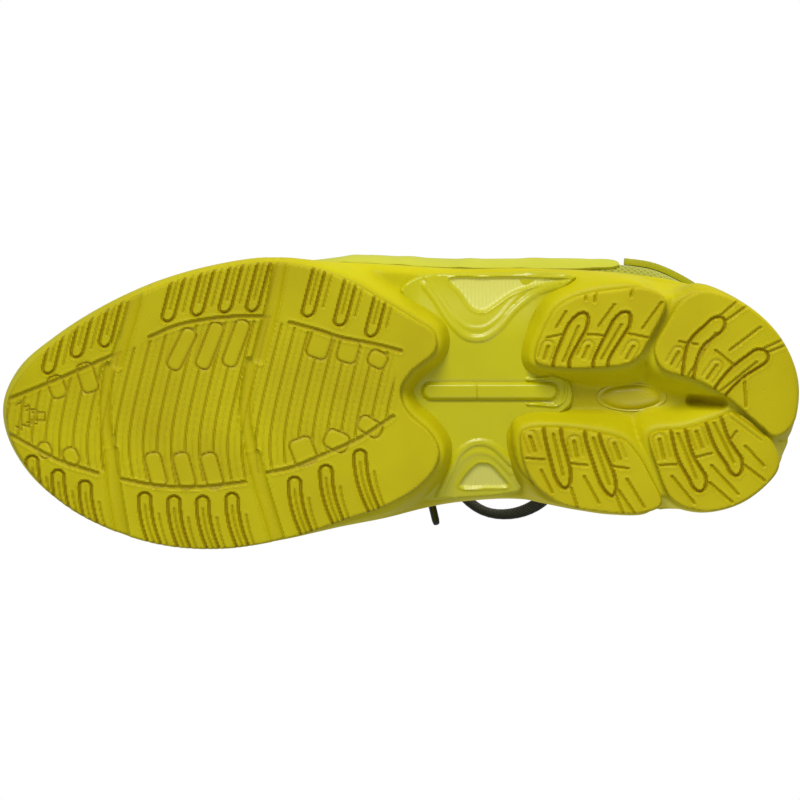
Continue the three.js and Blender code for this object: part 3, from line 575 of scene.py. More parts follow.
def forefoot_relief():
    made = Relief()
    # The fourth number of each cut is how dark its groove is painted, as shade.
    for line in LATERAL_SEAM + MEDIAL_SEAM:
        made.cut(centripetal(line, 8, False), 1.7, 1.0, 0.4, 0.25)
    for u, inner in LATERAL_HAIRPINS:
        ys = np.linspace(56, inner + HAIRPIN_HALF, 14)
        legs = [np.stack([u + side - bow(ys), ys], 1) for side in (-HAIRPIN_HALF, HAIRPIN_HALF)]
        made.cut(loop_end(legs[0], legs[1], (u - bow(inner), inner)), 1.15, 1.1, 0.75, 0.2)
        mid = np.linspace(56, inner + 4.6, 12)
        made.cut(np.stack([u - bow(mid), mid], 1), 0.9, 0.6, 0.4)
        far = np.linspace(56, inner + 3.5, 12)
        made.cut(np.stack([u - NEIGHBOUR - bow(far), far], 1), 0.9, 0.6, 0.35, 0.12)
    for x, y in MEDIAL_HAIRPINS:
        ys = np.linspace(0, 1, 12)
        down = np.stack([x - 0.0125 * (26 * ys) ** 2, y - HAIRPIN_HALF - 26 * ys], 1)[::-1]
        made.cut(loop_end(down + (-HAIRPIN_HALF, 0), down + (HAIRPIN_HALF, 0), (x, y)), 1.15, 1.1, 0.75, 0.2)
        made.cut(down[:-1], 0.9, 0.6, 0.4)
        made.cut(down[:-2] + (-NEIGHBOUR, -1), 0.9, 0.6, 0.35, 0.12)
    for a, b, wide in PILLS:
        made.land(a, b, wide)
    for channel in FLEX:
        for line, wide in zip(channel, (5.0, 4.0, 5.2)):
            made.cut(centripetal(line, 8, False), wide, 1.6, 0.1, 0.4)
    for k in range(4):  # nested wedges at the toe
        reach = 7 - 1.7 * k
        made.cut([(145 - 2 * k, -6 + 0.5 * reach), (143 - 3 * k, -6.4 + 0.75 * reach),
                  (143 - 3 * k, -6.6 - 0.75 * reach), (145 - 2 * k, -7 - 0.5 * reach)], 0.8, 0.7, 0.5)
    return made


def arc_texture(points):
    """Fine cross grooves 2.65 mm apart, by turns deep and thin, between the two side strips, with painted
    shade in them.
    """
    x, y = points.T
    u = x + bow(y)
    phase = np.mod(u, ARC_PITCH)
    lean = np.sqrt(1 + slope_of_bow(y) ** 2)
    deep = np.sqrt(np.clip(1 - (np.abs(phase - 1.3) / lean / 0.5) ** 2, 0, 1))
    thin = np.sqrt(np.clip(1 - (np.abs(phase - 3.95) / lean / 0.4) ** 2, 0, 1))
    low = np.interp(x, [2.8, 15.6, 28.7, 50, 58.4, 85.5, 104.7, 128.6, 149],
                    [-5.6, -14, -19.9, -26.8, -30.3, -32.3, -29.5, -23, -12.8])
    high = np.interp(x, [-6, 0, 22.7, 41.5, 49, 75, 94, 127, 149],
                     [15, 19, 24, 29.6, 31.9, 30.4, 24, 8.5, -0.8])
    field = ease(y, low + 0.6, low + 1.6) * (1 - ease(y, high - 1.6, high - 0.6)) * ease(x, 1.5, 3)
    # Depth, then painted shade in the grooves.
    return field * np.maximum(deep * 0.7, thin * 0.3), field * np.maximum(deep * 0.42, thin * 0.12)


HEEL_GROOVES = {
    "lateral_front": {
        "loops": [([(-57.3, 12), (-57.3, 14.6), (-62, 27)], [(-63.3, 12), (-63.3, 15), (-69.5, 27)],
                   (-68.5, 33.4)),
                  ([(-72.3, 12), (-72.3, 15), (-78.5, 28)], [(-77.9, 12), (-77.9, 15), (-85.6, 28)],
                   (-84.3, 33.8))],
        "lines": [[(-69.3, 38.3), (-69, 44)], [(-72.7, 37.5), (-74, 44)], [(-86.2, 39.4), (-87.5, 44)],
                  [(-61, 15), (-66.7, 28.2)], [(-75.3, 15.8), (-82.8, 28.9)], [(-55, 24), (-60.6, 25.2)],
                  [(-70.4, 25.2), (-76, 24.8)], [(-85.4, 25.5), (-92.6, 24)], [(-62.1, 33.8), (-58.4, 27.8)],
                  [(-80.2, 36.4), (-74.2, 28.2)], [(-97.8, 37.2), (-90.7, 27.4)]],
        "slots": [[(-55.4, 20.7), (-53.9, 16.1)], [(-70.4, 20.7), (-68.5, 16.5)],
                  [(-87.3, 20.7), (-84.7, 16.1)]]},
    "medial_front": {
        "loops": [([(-53.9, -9), (-53.9, -12), (-57, -25)], [(-60.3, -9), (-60.3, -12.4), (-63.6, -25)],
                   (-61.8, -32.7)),
                  ([(-69.3, -10), (-69.3, -13.5), (-73.5, -27)], [(-74.9, -10), (-74.9, -13.9), (-80, -27)],
                   (-79.4, -35.7))],
        "lines": [[(-57.3, -12.4), (-61, -27.8)], [(-72.3, -13.9), (-78.3, -31.2)],
                  [(-47.1, -21.4), (-53.9, -21.8)],
                  [(-63.6, -23.3), (-70, -24)], [(-79.8, -24.4), (-85.4, -25.2)],
                  [(-52.8, -25.9), (-56.9, -34.2)],
                  [(-68.9, -28.2), (-74.5, -38.3)], [(-85, -29.3), (-91.4, -39.8)],
                  [(-64, -32.7), (-66.7, -41)],
                  [(-80.9, -35.7), (-83.9, -43)], [(-81.7, -33.4), (-88.4, -43)]],
        "slots": [[(-48.6, -13.1), (-50.5, -18.8)], [(-65.1, -15), (-66.3, -20.7)],
                  [(-80.2, -15.8), (-82.4, -21.8)]]},
    "lateral_rear": {
        "loops": [([(-105.2, 7), (-105.7, 10.5), (-108, 22), (-115.5, 30)],
                   [(-109.4, 5), (-109.8, 9), (-113, 20), (-120.5, 26.5)], (-120.7, 31.4)),
                  ([(-116.5, 2), (-118.1, 5.3), (-124, 12.5), (-132.5, 19)],
                   [(-120.5, -1), (-122.2, 2.6), (-128.5, 9), (-136.5, 14)], (-137.5, 18.3))],
        "lines": [[(-108, 9.8), (-118.1, 25.5)], [(-120.3, 4.1), (-133.5, 14.6)],
                  [(-119, 31.5), (-126, 37.5)],
                  [(-122.6, 30.8), (-130, 36)], [(-135, 19.2), (-146, 24)], [(-137.5, 18.2), (-147.5, 22)],
                  [(-104.6, 22.5), (-111.3, 21.4)], [(-118.1, 19.2), (-125.6, 13.1)],
                  [(-135, 27.8), (-123.4, 19.2)],
                  [(-129, 7.1), (-129.7, -1.9)]],
        "slots": [[(-104.2, 18.4), (-101.6, 13.9)], [(-118.5, 13.5), (-115.1, 8.6)]]},
    "medial_rear": {
        "loops": [([(-101, -8), (-101.6, -12), (-104.2, -21.8), (-108.5, -29.5)],
                   [(-105.5, -7), (-106.8, -10.5), (-109.8, -20.3), (-114.5, -28)], (-112.8, -33.8)),
                  ([(-113.2, -5), (-114.7, -8.6), (-118.1, -17.3), (-122.5, -24)],
                   [(-118.5, -3), (-120.3, -6.4), (-123.4, -14.6), (-128, -21.5)], (-126.7, -27.8))],
        "lines": [[(-104, -12), (-111, -29)], [(-117.5, -8), (-125, -23)], [(-97.4, -24), (-103.4, -23.7)],
                  [(-111, -21), (-116.6, -19.5)], [(-123.7, -14.6), (-126, -11.3)],
                  [(-101.9, -28.2), (-110.2, -38.3)],
                  [(-116.6, -24), (-126.7, -34.9)], [(-129.4, -16.9), (-136.5, -24.4)],
                  [(-129, -24), (-136.9, -30)],
                  [(-115.8, -30.4), (-124.5, -37.9)]],
        "slots": [[(-97.1, -14.3), (-98.9, -21.4)], [(-111, -11.3), (-113.2, -17.3)],
                  [(-125.2, -4.1), (-136.9, -12.8)]]}}


def heel_relief(place):
    made = Relief()
    marks = HEEL_GROOVES[place]
    # The fourth number of each cut is how dark its groove is painted, as shade.
    for left, right, tip in marks["loops"]:
        made.cut(loop_end(centripetal(left, 6, False), centripetal(right, 6, False), tip), 1.3, 1.2, 0.8,
                 0.25)
    for line in marks["lines"]:
        made.cut(line, 1.1, 0.8, 0.4, 0.2)
    for line in marks["slots"]:
        a, b = np.array(line, float)
        side = np.array([b[1] - a[1], a[0] - b[0]]) / np.linalg.norm(b - a)
        made.cut(line, 1.3, 0.9, 0.4, 0.15)
        made.cut(loop_end(np.array([b, a]) + side * 2.4, np.array([b, a]) - side * 2.4,
                          a + (a - b) / np.linalg.norm(b - a) * 2.2), 0.9, 0.4, 0.2, 0.12)
    return made


def spread(edge, far):
    """An outline drawn outwards along the forefoot's sides and round the back of the heel."""
    way = np.roll(edge, -1, 0) - np.roll(edge, 1, 0)
    way /= np.linalg.norm(way, axis=1, keepdims=True)
    out = np.column_stack([way[:, 1], -way[:, 0]])
    outer = np.maximum(ease(edge[:, 0], 8, 40), ease(-edge[:, 0], 100, 125) * ease(np.hypot(
        edge[:, 0] + 105, edge[:, 1]), 32, 38))
    return edge + out * (far * outer)[:, None]


def tread(name, points, relief, material, texture=None, cell=0.5):
    """A rubber tread: its relief below, straight sides and a flat top against the foam."""
    edge = spread(centripetal(points, 8), 1.4)
    bm = trimmed_grid(edge, cell)
    verts = list(bm.verts)
    at = np.array([v.co[:2] for v in verts])
    depth, painted_shade = relief.over(at, texture)
    rim, _, _ = nearest(at, edge, True)
    rounding = 1.1 - np.sqrt(np.clip(1.1 ** 2 - np.clip(1.1 - rim, 0, None) ** 2, 0, None))
    for v, z in zip(verts, ground(at[:, 0]) + depth + rounding):
        v.co.z = z
    # Painted shade of the grooves, by place.
    shade = dict(zip(((round(p[0], 3), round(p[1], 3)) for p in at), painted_shade))
    ring = raised_border(bm, edge, [
        lambda base, out: np.column_stack([base[:, :2], ground(base[:, 0]) + TREAD_THICK - 0.2])])
    bmesh.ops.contextual_create(bm, geom=ring)
    obj = piece(name, bm, "shoe", [name.removesuffix("_tread")])
    keys = coords_of(obj)
    # The underside's painted groove shade, kept as the groove attribute.
    tone = [shade.get((round(x, 3), round(y, 3)), 0) if z < ground(x) + 3.4 else 0 for x, y, z in keys]
    tagged(obj, "groove", tone)
    obj.data.materials.append(material)
    return obj


# ---- The upper's surface ------------------------------------------------------------------------

# Stations from the back of the heel to the toe: the rib's foot in plan on the outer and inner
# sides, its top, how far it swells out and up, and the way that it leaves the top.
STATIONS = [
    ((-140, 0), (-140, 0), (-127, 0, 106), (5, 30), (-1, 0, -26)),
    ((-134, 19), (-134, 19), (-125, 12, 104), (5, 30), (-1, 1, -26)),
    ((-119, 31), (-119, 30), (-116, 23, 98), (5, 29), (-1, 3, -26)),
    ((-95, 38.5), (-95, 35.5), (-97, 31, 88), (4, 27), (0, 5, -22)),
    ((-70, 41), (-70, 36.5), (-72, 33, 84), (4, 26), (0, 6, -22)),
    ((-42, 41), (-42, 35), (-48, 29, 93), (5, 26), (2, 8, -24)),
    ((-18, 41.5), (-18, 36.5), (-31, 20, 107), (5, 26), (4, 15, -22)),
    ((6, 43), (6, 39.5), (-8, 17, 95), (5, 24), (5, 19, -14)),
    ((28, 45.5), (28, 43.5), (15, 15, 84), (4, 22), (5, 21, -9)),
    ((50, 48), (50, 48), (36, 13, 74.5), (4, 20), (6, 24, -6)),
    ((72, 45.5), (72, 50), (55, 9, 67), (4, 19), (7, 26, -3)),
    ((92, 40), (92, 49.5), (62, 0, 64.5), (4, 19), (6, 28, 0)),
    ((113, 30.5), (113, 42.5), (89, -1, 60), (4, 19), (7, 24, 1)),
    ((131, 16.5), (131, 29.5), (110, -4, 55), (4, 18), (11, 18, 1)),
    ((141.5, -5), (141.5, 5), (126, -5, 48), (4, 15), (13, 0, 2))]
LAST = 14
RIDGE = 11
FIRST = -10  # the tables start this many stations before the heel


def side_of(w):
    return np.where(np.mod(w, 2 * LAST) <= LAST, 1.0, -1.0)


def station_of(w):
    t = np.mod(w, 2 * LAST)
    return np.where(t <= LAST, t, 2 * LAST - t)


def opposite(w):
    return 2 * LAST - w


def table(at, first=FIRST, last=40):
    """A smooth curve through the places that at gives for whole numbers."""
    places = np.array([at(k) for k in range(first, last)], float)

    def curve(t):
        t = np.asarray(t, float)
        i = np.floor(t).astype(int)
        u = (t - i)[..., None]
        a, b, c, d = (places[i + k - first] for k in (-1, 0, 1, 2))
        return (a * (-u + 2 * u * u - u ** 3) + b * (2 - 5 * u * u + 3 * u ** 3)
                + c * (u + 4 * u * u - 3 * u ** 3) + d * (u ** 3 - u * u)) / 2
    return curve


def station(k):
    return STATIONS[int(station_of(k))]


foot_at = table(lambda k: (*station(k)[0], 0) if side_of(k) > 0 else (station(k)[1][0], -station(k)[1][1],
                                                                      0))
swell_at = table(lambda k: (*station(k)[3], 0))
leave_at = table(lambda k: (station(k)[4][0], station(k)[4][1] * side_of(k), station(k)[4][2]))
edge_at = table(lambda k: [a * b for a, b in zip(
    STATIONS[abs(k) if k <= RIDGE else 2 * RIDGE - k][2], (1, 1 if 0 <= k <= RIDGE else -1, 1))], -5, 16)
ridge_at = table(lambda k: STATIONS[min(max(k, RIDGE), LAST)][2], 8, 18)


def top_at(w):
    s = station_of(w)
    ridge = (s >= RIDGE)[..., None]
    open_ = edge_at(np.minimum(s, RIDGE)) * np.stack(
        [np.ones_like(s), side_of(w), np.ones_like(s)], -1)
    return np.where(ridge, ridge_at(np.maximum(s, RIDGE)), open_)


def rib(w, h):
    w, h = np.broadcast_arrays(np.asarray(w, float), np.asarray(h, float))
    foot = foot_at(w)
    way = foot_at(w + 0.05) - foot_at(w - 0.05)
    out = np.stack([-way[..., 1], way[..., 0], np.zeros_like(w)], -1)
    out /= np.linalg.norm(out, axis=-1, keepdims=True)
    foot = np.concatenate([foot[..., :2], (footbed(foot[..., 0]) + GAP)[..., None]], -1)
    top, swell = top_at(w), swell_at(w)
    low = foot + out * swell[..., :1] + np.stack([0 * w, 0 * w, swell[..., 1]], -1)
    high = top + leave_at(w)
    t = h[..., None]
    return foot * (1 - t) ** 3 + low * 3 * t * (1 - t) ** 2 + high * 3 * t * t * (1 - t) + top * t ** 3


def facing(w, h):
    row = np.minimum(h, 0.97)
    way = rib(w + 0.05, row) - rib(w - 0.05, row)
    up = rib(w, row + 0.02) - rib(w, np.maximum(row - 0.02, 0))
    n = np.cross(up, way)
    return n / np.linalg.norm(n, axis=-1, keepdims=True)


def belly(w, h):
    """How far the cloth on the outer side bellies out over the foam."""
    s = station_of(w)
    lengthwise = ease(s, 1.6, 3.2) * (1 - ease(s, 7.2, 9.4)) * (side_of(w) > 0)
    return 7.5 * lengthwise * ease(h, 0.02, 0.26) * (1 - ease(h, 0.34, 0.8))


def skin(w, h, out):
    """A point of the upper's surface, moved out along its own normal."""
    w, h, out = np.broadcast_arrays(*(np.asarray(q, float) for q in (w, h, out)))
    n = facing(w, h)
    both = ((h > 0.999) & (station_of(w) >= RIDGE))[..., None]
    n = np.where(both, n + facing(opposite(w), h), n)
    n /= np.linalg.norm(n, axis=-1, keepdims=True)
    return rib(w, h) + n * (out + np.where(out > -1.7, belly(w, h), 0))[..., None]


def row_at(w, distance):
    """How far up its rib a point lies that is a given distance from the throat edge."""
    hs = np.arange(1, 0.3, -0.01)
    line = rib(np.full_like(hs, w), hs)
    gone = np.concatenate([[0], np.cumsum(np.linalg.norm(np.diff(line, axis=0), axis=1))])
    return float(hs[np.argmax(gone >= distance)])


def unit(v):
    return v / max(np.linalg.norm(v), 1e-9)


eyelets = {}
for i in range(EYELETS):
    for side in (1, -1):
        s = 9.6 + (6.4 - 9.6) * i / (EYELETS - 1)
        w = s if side > 0 else opposite(s)
        h = row_at(w, EYELET_EDGE)
        eyelets[i, side] = {"w": w, "h": h, "at": skin(w, h, 0), "normal": facing(w, h)}

# ---- Tongue arches and the lace's route ---------------------------------------------------------

LACE_ROOM = FABRIC + 2 * GAP + LACE
RING_PROUD = 0.5


def tongue_depth(s):
    sewn = LINING_DEPTH + LINING + GAP + 0.1
    return sewn + max(0, LACE_ROOM + 0.2 - sewn) * (1 - float(ease(s, 9.9, 10.3)))


def cubic(a, b, c, d, t):
    t = np.asarray(t, float)[:, None]
    return a * (1 - t) ** 3 + b * 3 * t * (1 - t) ** 2 + c * 3 * t * t * (1 - t) + d * t ** 3


def across(s, depth):
    """Eleven places across the throat, at a depth under the surface and arched between its edges."""
    hs = np.array([0.79, 0.86, 0.93, 1])
    left = skin(np.full(4, s), hs, -depth)
    right = skin(np.full(4, opposite(s)), hs, -depth)[::-1]
    a, b = left[-1], right[0]
    reach = np.linalg.norm(b - a) * 0.36
    leaving = a + unit(a - left[-2]) * reach
    landing = b + unit(b - right[1]) * reach
    return np.vstack([left, cubic(a, leaving, landing, b, [0.25, 0.5, 0.75]), right])


THROAT_UP = np.array([0.46, 0, 0.89])
LACE_IN = -FABRIC - GAP - LACE / 2
LACE_OUT = GAP + OVERLAY + RING_PROUD + GAP + LACE / 2
LACE_OVER = GAP + OVERLAY + GAP + LACE / 2


def crown_of(s):
    return across(s, tongue_depth(s))[5]


def threaded(e):
    inwards = unit(rib(e["w"], min(1, e["h"] + 0.04)) - rib(e["w"], e["h"]))
    near = row_at(e["w"], EYELET_EDGE - 4.4)

    def place(along, out):
        return e["at"] + inwards * along + e["normal"] * out
    return [skin(e["w"], near, LACE_IN - 0.2), place(1.3, LACE_IN + 0.1), place(0.1, -1.4), place(0.1, 2),
            place(1, LACE_OUT - 0.3), skin(e["w"], near, LACE_OUT + LACE / 12)]


def on_tongue(s, index, lift):
    arch = across(s, tongue_depth(s))
    along = unit(arch[index + 1] - arch[index - 1])
    up = unit(THROAT_UP - along * (THROAT_UP @ along))
    return arch[index] + up * (GAP + LACE / 2 + lift)


def crossing(a, b, side, over):
    start, end = float(station_of(a["w"])), float(station_of(b["w"]))
    lift = LACE + GAP if over else 0

    def at(share):
        return start + (end - start) * share

    def between(s, sign):
        return s if sign > 0 else opposite(s)
    return [skin(between(at(0.2), side), 1, LACE_OVER + LACE / 4),
            on_tongue(at(0.36), 5 - side, 0.9 + lift / 2),
            on_tongue(at(0.5), 5, 0.2 + lift),
            on_tongue(at(0.64), 5 + side, 0.1 + lift / 10),
            skin(between(at(0.8), -side), 1, LACE_IN - 0.2)]


def strand(side, over):
    places = threaded(eyelets[0, side])
    for i in range(1, EYELETS):
        sign = side if i % 2 else -side
        a, b = eyelets[i - 1, sign], eyelets[i, -sign]
        places += crossing(a, b, sign, over) + threaded(b)
    end = eyelets[EYELETS - 1, side * (1 if EYELETS % 2 else -1)]
    return places + [skin(end["w"], 1, LACE_OVER + LACE / 4)]


BOW = {  # from the knot's foot: in to the knot, out in a loop and back, and out to a free end
    "lateral": [
        (4, -10, 0), (0, 0, 0), (3, 12, 0), (2, 26, -2), (-8, 39, -9), (-20, 47, -15), (-31, 43, -14),
        (-26, 34, -3), (-10, 22, 5), (-3, 10, 7.4), (0, 0, 7.6), (6, -8, 9), (10, -18, 7), (12, -29, 0),
        (10, -39, -9)],
    "medial": [
        (4, 10, 3), (-1, 0, 3.8), (4, -12, 4), (2, -26, 0), (0, -38, -8), (-12, -49, -18), (-27, -49, -18),
        (-38, -41, -11), (-26, -32, -4), (-10, -21, 3), (-3, -9, 9), (0, 0, 11.4), (8, 8, 12), (14, 17, 9),
        (19, 26, 2)]}
KNOT = crown_of(6.6) + THROAT_UP * 4
first = strand(1, True) + list(centripetal(np.array(BOW["lateral"]) + KNOT, 2, False))
second = strand(-1, False) + list(centripetal(np.array(BOW["medial"]) + KNOT, 2, False))
bar = crown_of(9.6) + THROAT_UP * (GAP + LACE / 2 + 0.1)
ROUTE = np.array(first[::-1] + [bar] + second, float)
LACE_WIDE = 5.6
LACE_THICK = 1.9


def tube(rings, along, around, layer):
    """A closed tube through rings of places; its UV layer says how far along and how far round."""
    count, turns = rings.shape[:2]
    bm = bmesh.new()
    bmesh.ops.create_grid(bm, x_segments=count - 1, y_segments=turns, size=0.5)
    uv = bm.loops.layers.uv.new(layer)
    spots = {v: (round((v.co.x + 0.5) * (count - 1)), round((v.co.y + 0.5) * turns)) for v in bm.verts}
    for face in bm.faces:
        for loop in face.loops:
            k, i = spots[loop.vert]
            loop[uv].uv = (along[k], around * i)
    for v, (k, i) in spots.items():
        v.co = rings[k, i % turns]
    bmesh.ops.remove_doubles(bm, verts=bm.verts, dist=0.0001)
    bmesh.ops.holes_fill(bm, edges=[e for e in bm.edges if e.is_boundary], sides=turns)
    return bm


def swept(line, normals, profile):
    """A closed tube: one outline of (across, up) places carried along a line."""
    way = np.gradient(line, axis=0)
    way /= np.linalg.norm(way, axis=1, keepdims=True)
    side = np.cross(way, normals)
    gone = np.concatenate([[0], np.cumsum(np.linalg.norm(np.diff(line, axis=0), axis=1))])
    rings = np.stack([line + side * a + normals * b for a, b in profile], 1)
    return tube(rings, gone, 12.0 / len(profile), "run")


def carried(line, hint):
    """A normal at each place, carried along without twisting and drawn towards a hint."""
    way = np.gradient(line, axis=0)
    way /= np.linalg.norm(way, axis=1, keepdims=True)
    n = unit(hint[0] - way[0] * (hint[0] @ way[0]))
    normals = []
    for t, h in zip(way, hint):
        pull = h - t * (h @ t)
        n = unit(n - t * (n @ t)) + 0.12 * pull
        n = unit(n - t * (n @ t))
        normals.append(n)
    return np.array(normals)


def smoothed(values, times):
    for _ in range(times):
        inner = (values[:-2] + 2 * values[1:-1] + values[2:]) / 4
        values = np.vstack([values[:1], inner, values[-1:]])
    return values


def lace_cloth():
    """A flat polyester lace, braided: matte black with a herringbone of fine ridges."""
    mat, tree, shader = finish("braided_polyester_lace", "15161a", 0.78, Sheen_Weight=0.35,
                               Sheen_Roughness=0.5)
    at = node(tree, "ShaderNodeUVMap", uv_map="run").outputs[0]
    # Braid ridges 1.1 mm apart, slanting both ways from the lace's middle.
    parts = node(tree, "ShaderNodeSeparateXYZ", {0: at})
    fold = worked(tree, worked(tree, parts.outputs[1], 3.0, "PINGPONG"), 0.9, "MULTIPLY")
    slant = worked(tree, worked(tree, parts.outputs[0], fold, "ADD"), 5.7, "MULTIPLY")
    ridge = worked(tree, slant, 0.0, "SINE")
    tone = node(tree, "ShaderNodeMapRange", {"Value": ridge, 1: -1.0, 2: 1.0}).outputs[0]
    # Painted light: the braid's ridges are coloured lighter and the dips between them darker.
    tree.links.new(toned(tree, "0b0c0e", "26282e", tone), shader.inputs["Base Color"])
    bumped(tree, shader, tone, 0.6, 0.0004)
    return mat


def lace():
    line = smoothed(centripetal(ROUTE, 3, False), 3)
    # The flat face looks up from the throat, and leans outwards at the sides.
    hint = THROAT_UP + line * (0, 0.5 / 40, 0)
    hint /= np.linalg.norm(hint, axis=1, keepdims=True)
    normals = smoothed(carried(line, hint), 2)
    normals /= np.linalg.norm(normals, axis=1, keepdims=True)
    turns = np.linspace(0, 2 * math.pi, 13)[:-1]
    profile = [(LACE_WIDE / 2 * math.copysign(abs(math.cos(t)) ** 0.7, math.cos(t)),
                LACE_THICK / 2 * math.copysign(abs(math.sin(t)) ** 0.8, math.sin(t))) for t in turns]
    obj = piece("flat_shoelace", swept(line, normals, profile), "shoe", ["shoelace"], sharp=80)
    obj.data.materials.append(lace_cloth())
    return obj, line


def lace_tip(name, end, before, node_name):
    """A clear-black tip, pressed round the lace's end: round, with a crimped neck."""
    along = unit(end - before)
    bm = bmesh.new()
    profile = [(0, -1.5), (1.3, -1.5), (1.75, 0.2), (1.55, 1.4), (1.5, 8), (1.46, 18), (1.25, 19.6), (0, 20)]
    verts = [bm.verts.new((r, 0, z)) for r, z in profile]
    edges = [bm.edges.new(pair) for pair in zip(verts, verts[1:])]
    bmesh.ops.spin(bm, geom=verts + edges, cent=(0, 0, 0), axis=(0, 0, 1), angle=2 * math.pi, steps=20,
                   use_merge=True)
    bmesh.ops.remove_doubles(bm, verts=bm.verts, dist=0.001)
    turned = Vector(along).to_track_quat("Z", "Y").to_matrix().to_4x4()
    bmesh.ops.transform(bm, matrix=Matrix.Translation(Vector(end)) @ turned, verts=bm.verts)
    obj = piece(name, bm, "shoe", [node_name], sharp=50)
    return obj


LACE_OBJ, LACE_LINE = lace()
TIPS = [lace_tip("medial_lace_tip_film", ROUTE[0], ROUTE[1], "lace_tip_medial"),
        lace_tip("lateral_lace_tip_film", ROUTE[-1], ROUTE[-2], "lace_tip_lateral")]
tuple(placed(LACE_LINE[0]))
[tuple(p) for p in placed(LACE_LINE)]


# ---- Outsole ------------------------------------------------------------------------------------

FORE_RUBBER = rubber("moulded_forefoot_rubber", "b0a300", "beb400")
HEEL_RUBBER = rubber("moulded_heel_rubber", "b7a800", "c2b600")
tread("forefoot_outsole_tread", FOREFOOT, forefoot_relief(), FORE_RUBBER, arc_texture)
for place, points in HEEL_PADS.items():
    tread(f"heel_pad_{place}_tread", points, heel_relief(place), HEEL_RUBBER)


# ---- Midsole ------------------------------------------------------------------------------------

PAD_EDGES = [centripetal(FOREFOOT, 8)] + [centripetal(points, 8) for points in HEEL_PADS.values()]


def waist_lift(x, y):
    """The foam under the arch rises towards both sides."""
    return 4.5 * ease(np.abs(y - 2), 20, 46) * ease(x, -64, -46) * (1 - ease(x, -8, 8))


def off_pads(x, y):
    at = np.column_stack([x, y])
    return np.min([np.where(inside(at, e), 0, nearest(at, e, True)[0]) for e in PAD_EDGES], 0)


def foam_underside(x, y):
    """Flush blocks behind the rubber, whose walls run down in a soft S to the foam between them."""
    low = ground(x) + TREAD_THICK + GAP
    high = SLAB_BOTTOM + ground(x) + waist_lift(x, y)
    heel = ease(-x, 62, 80)
    wide = 6.2 + 2.5 * heel
    share = ease(off_pads(x, y), 0.7, 0.7 + 1.0 * wide)
    return low + (high - low) * share


def lip_inside():
    """The line where the foam's lip meets the upper, just under the upper's face."""
    ws = np.linspace(0, 2 * LAST, 281)[:-1]
    hs = np.linspace(0, 0.6, 61)
    line = []
    for w in ws:
        z = rib(np.full(61, w), hs)
        h = float(np.interp(0, z[:, 2] - lip_top(z[:, 0]), hs))
        line.append(skin(w, h, -0.9))
    return np.array(line)


def midsole_relief():
    made = Relief()
    # The fourth number of each cut is how dark its groove is painted, as shade.
    # The mould's parting lines round the front of the heel, and the two ridges of the waist.
    made.cut(centripetal([(-45.6, 31), (-43, 24), (-42.6, 16.9), (-43, 9.8), (-46.4, 6.8), (-52, 7.6),
                          (-57.3, 9.4), (-61.4, 7.2)], 6, False), 1.2, 0.9, 0.45)
    made.cut(centripetal([(-63.3, 3), (-58.8, -2.3), (-46.4, -1.2), (-42, -4.2), (-41.5, -8), (-42.6, -20.3),
                          (-45.3, -26.7), (-49.4, -30.8)], 6, False), 1.2, 0.9, 0.45)
    # The cavity's rounded rear end.
    made.cut([(-110, -0.4), (-120.2, -0.8)], 5.4, 2.6, 0.55)
    # A smooth rib that follows the forefoot rubber's rear edge.
    made.cut(centripetal([(-16.5, 27), (-12, 31), (-8, 35)], 6, False), 1.4, -0.8, 0)
    return made


# The foam's lower edge, which dips in between the heel's pods and at the waist.
FOAM_EDGE = [
    (-149, -4), (-145.5, -12.5), (-141.2, -15.5), (-141.8, -24), (-137, -31.8), (-127, -38.8), (-114, -41.8),
    (-104, -40), (-98.4, -36.8), (-92.5, -42.2), (-80, -42.6), (-66, -40.5), (-54, -38.2), (-38, -37),
    (-20, -38.5), (-4, -42), (18, -46.5), (44, -52.5), (66, -55.6), (88, -54.6), (108, -49.2), (126, -40.6),
    (140.6, -28.4), (149, -14), (150.2, -2), (144, 11.2), (130, 23.4), (112, 35), (92, 44.2), (70, 50.6),
    (48, 53.6),
    (22, 51), (-12, 48), (-45, 48), (-72, 46.6), (-88, 45), (-97.5, 40), (-104, 40.5), (-112, 43),
    (-130, 34.4),
    (-143, 21.4), (-149, 8)]
# And its upper edge, round the lip.
LIP_EDGE = [
    (-148, -7), (-144, -22), (-132, -35), (-112, -41), (-80, -41.5), (-45, -38.4), (-12, -40),
    (18, -46), (44, -52), (66, -55), (88, -54), (108, -48.6), (126, -40), (140, -27.6),
    (148.6, -13.8), (149.6, -1), (143.4, 11), (130, 23), (112, 34.6), (92, 44), (70, 50), (48, 53),
    (22, 50.4), (-12, 47.5), (-45, 47), (-80, 46), (-108, 42.4), (-130, 33.6), (-143, 20.6), (-148, 8)]
LATERAL_CHANNELS = (96.5, 46.5)
MEDIAL_CHANNELS = (104.2, 46)


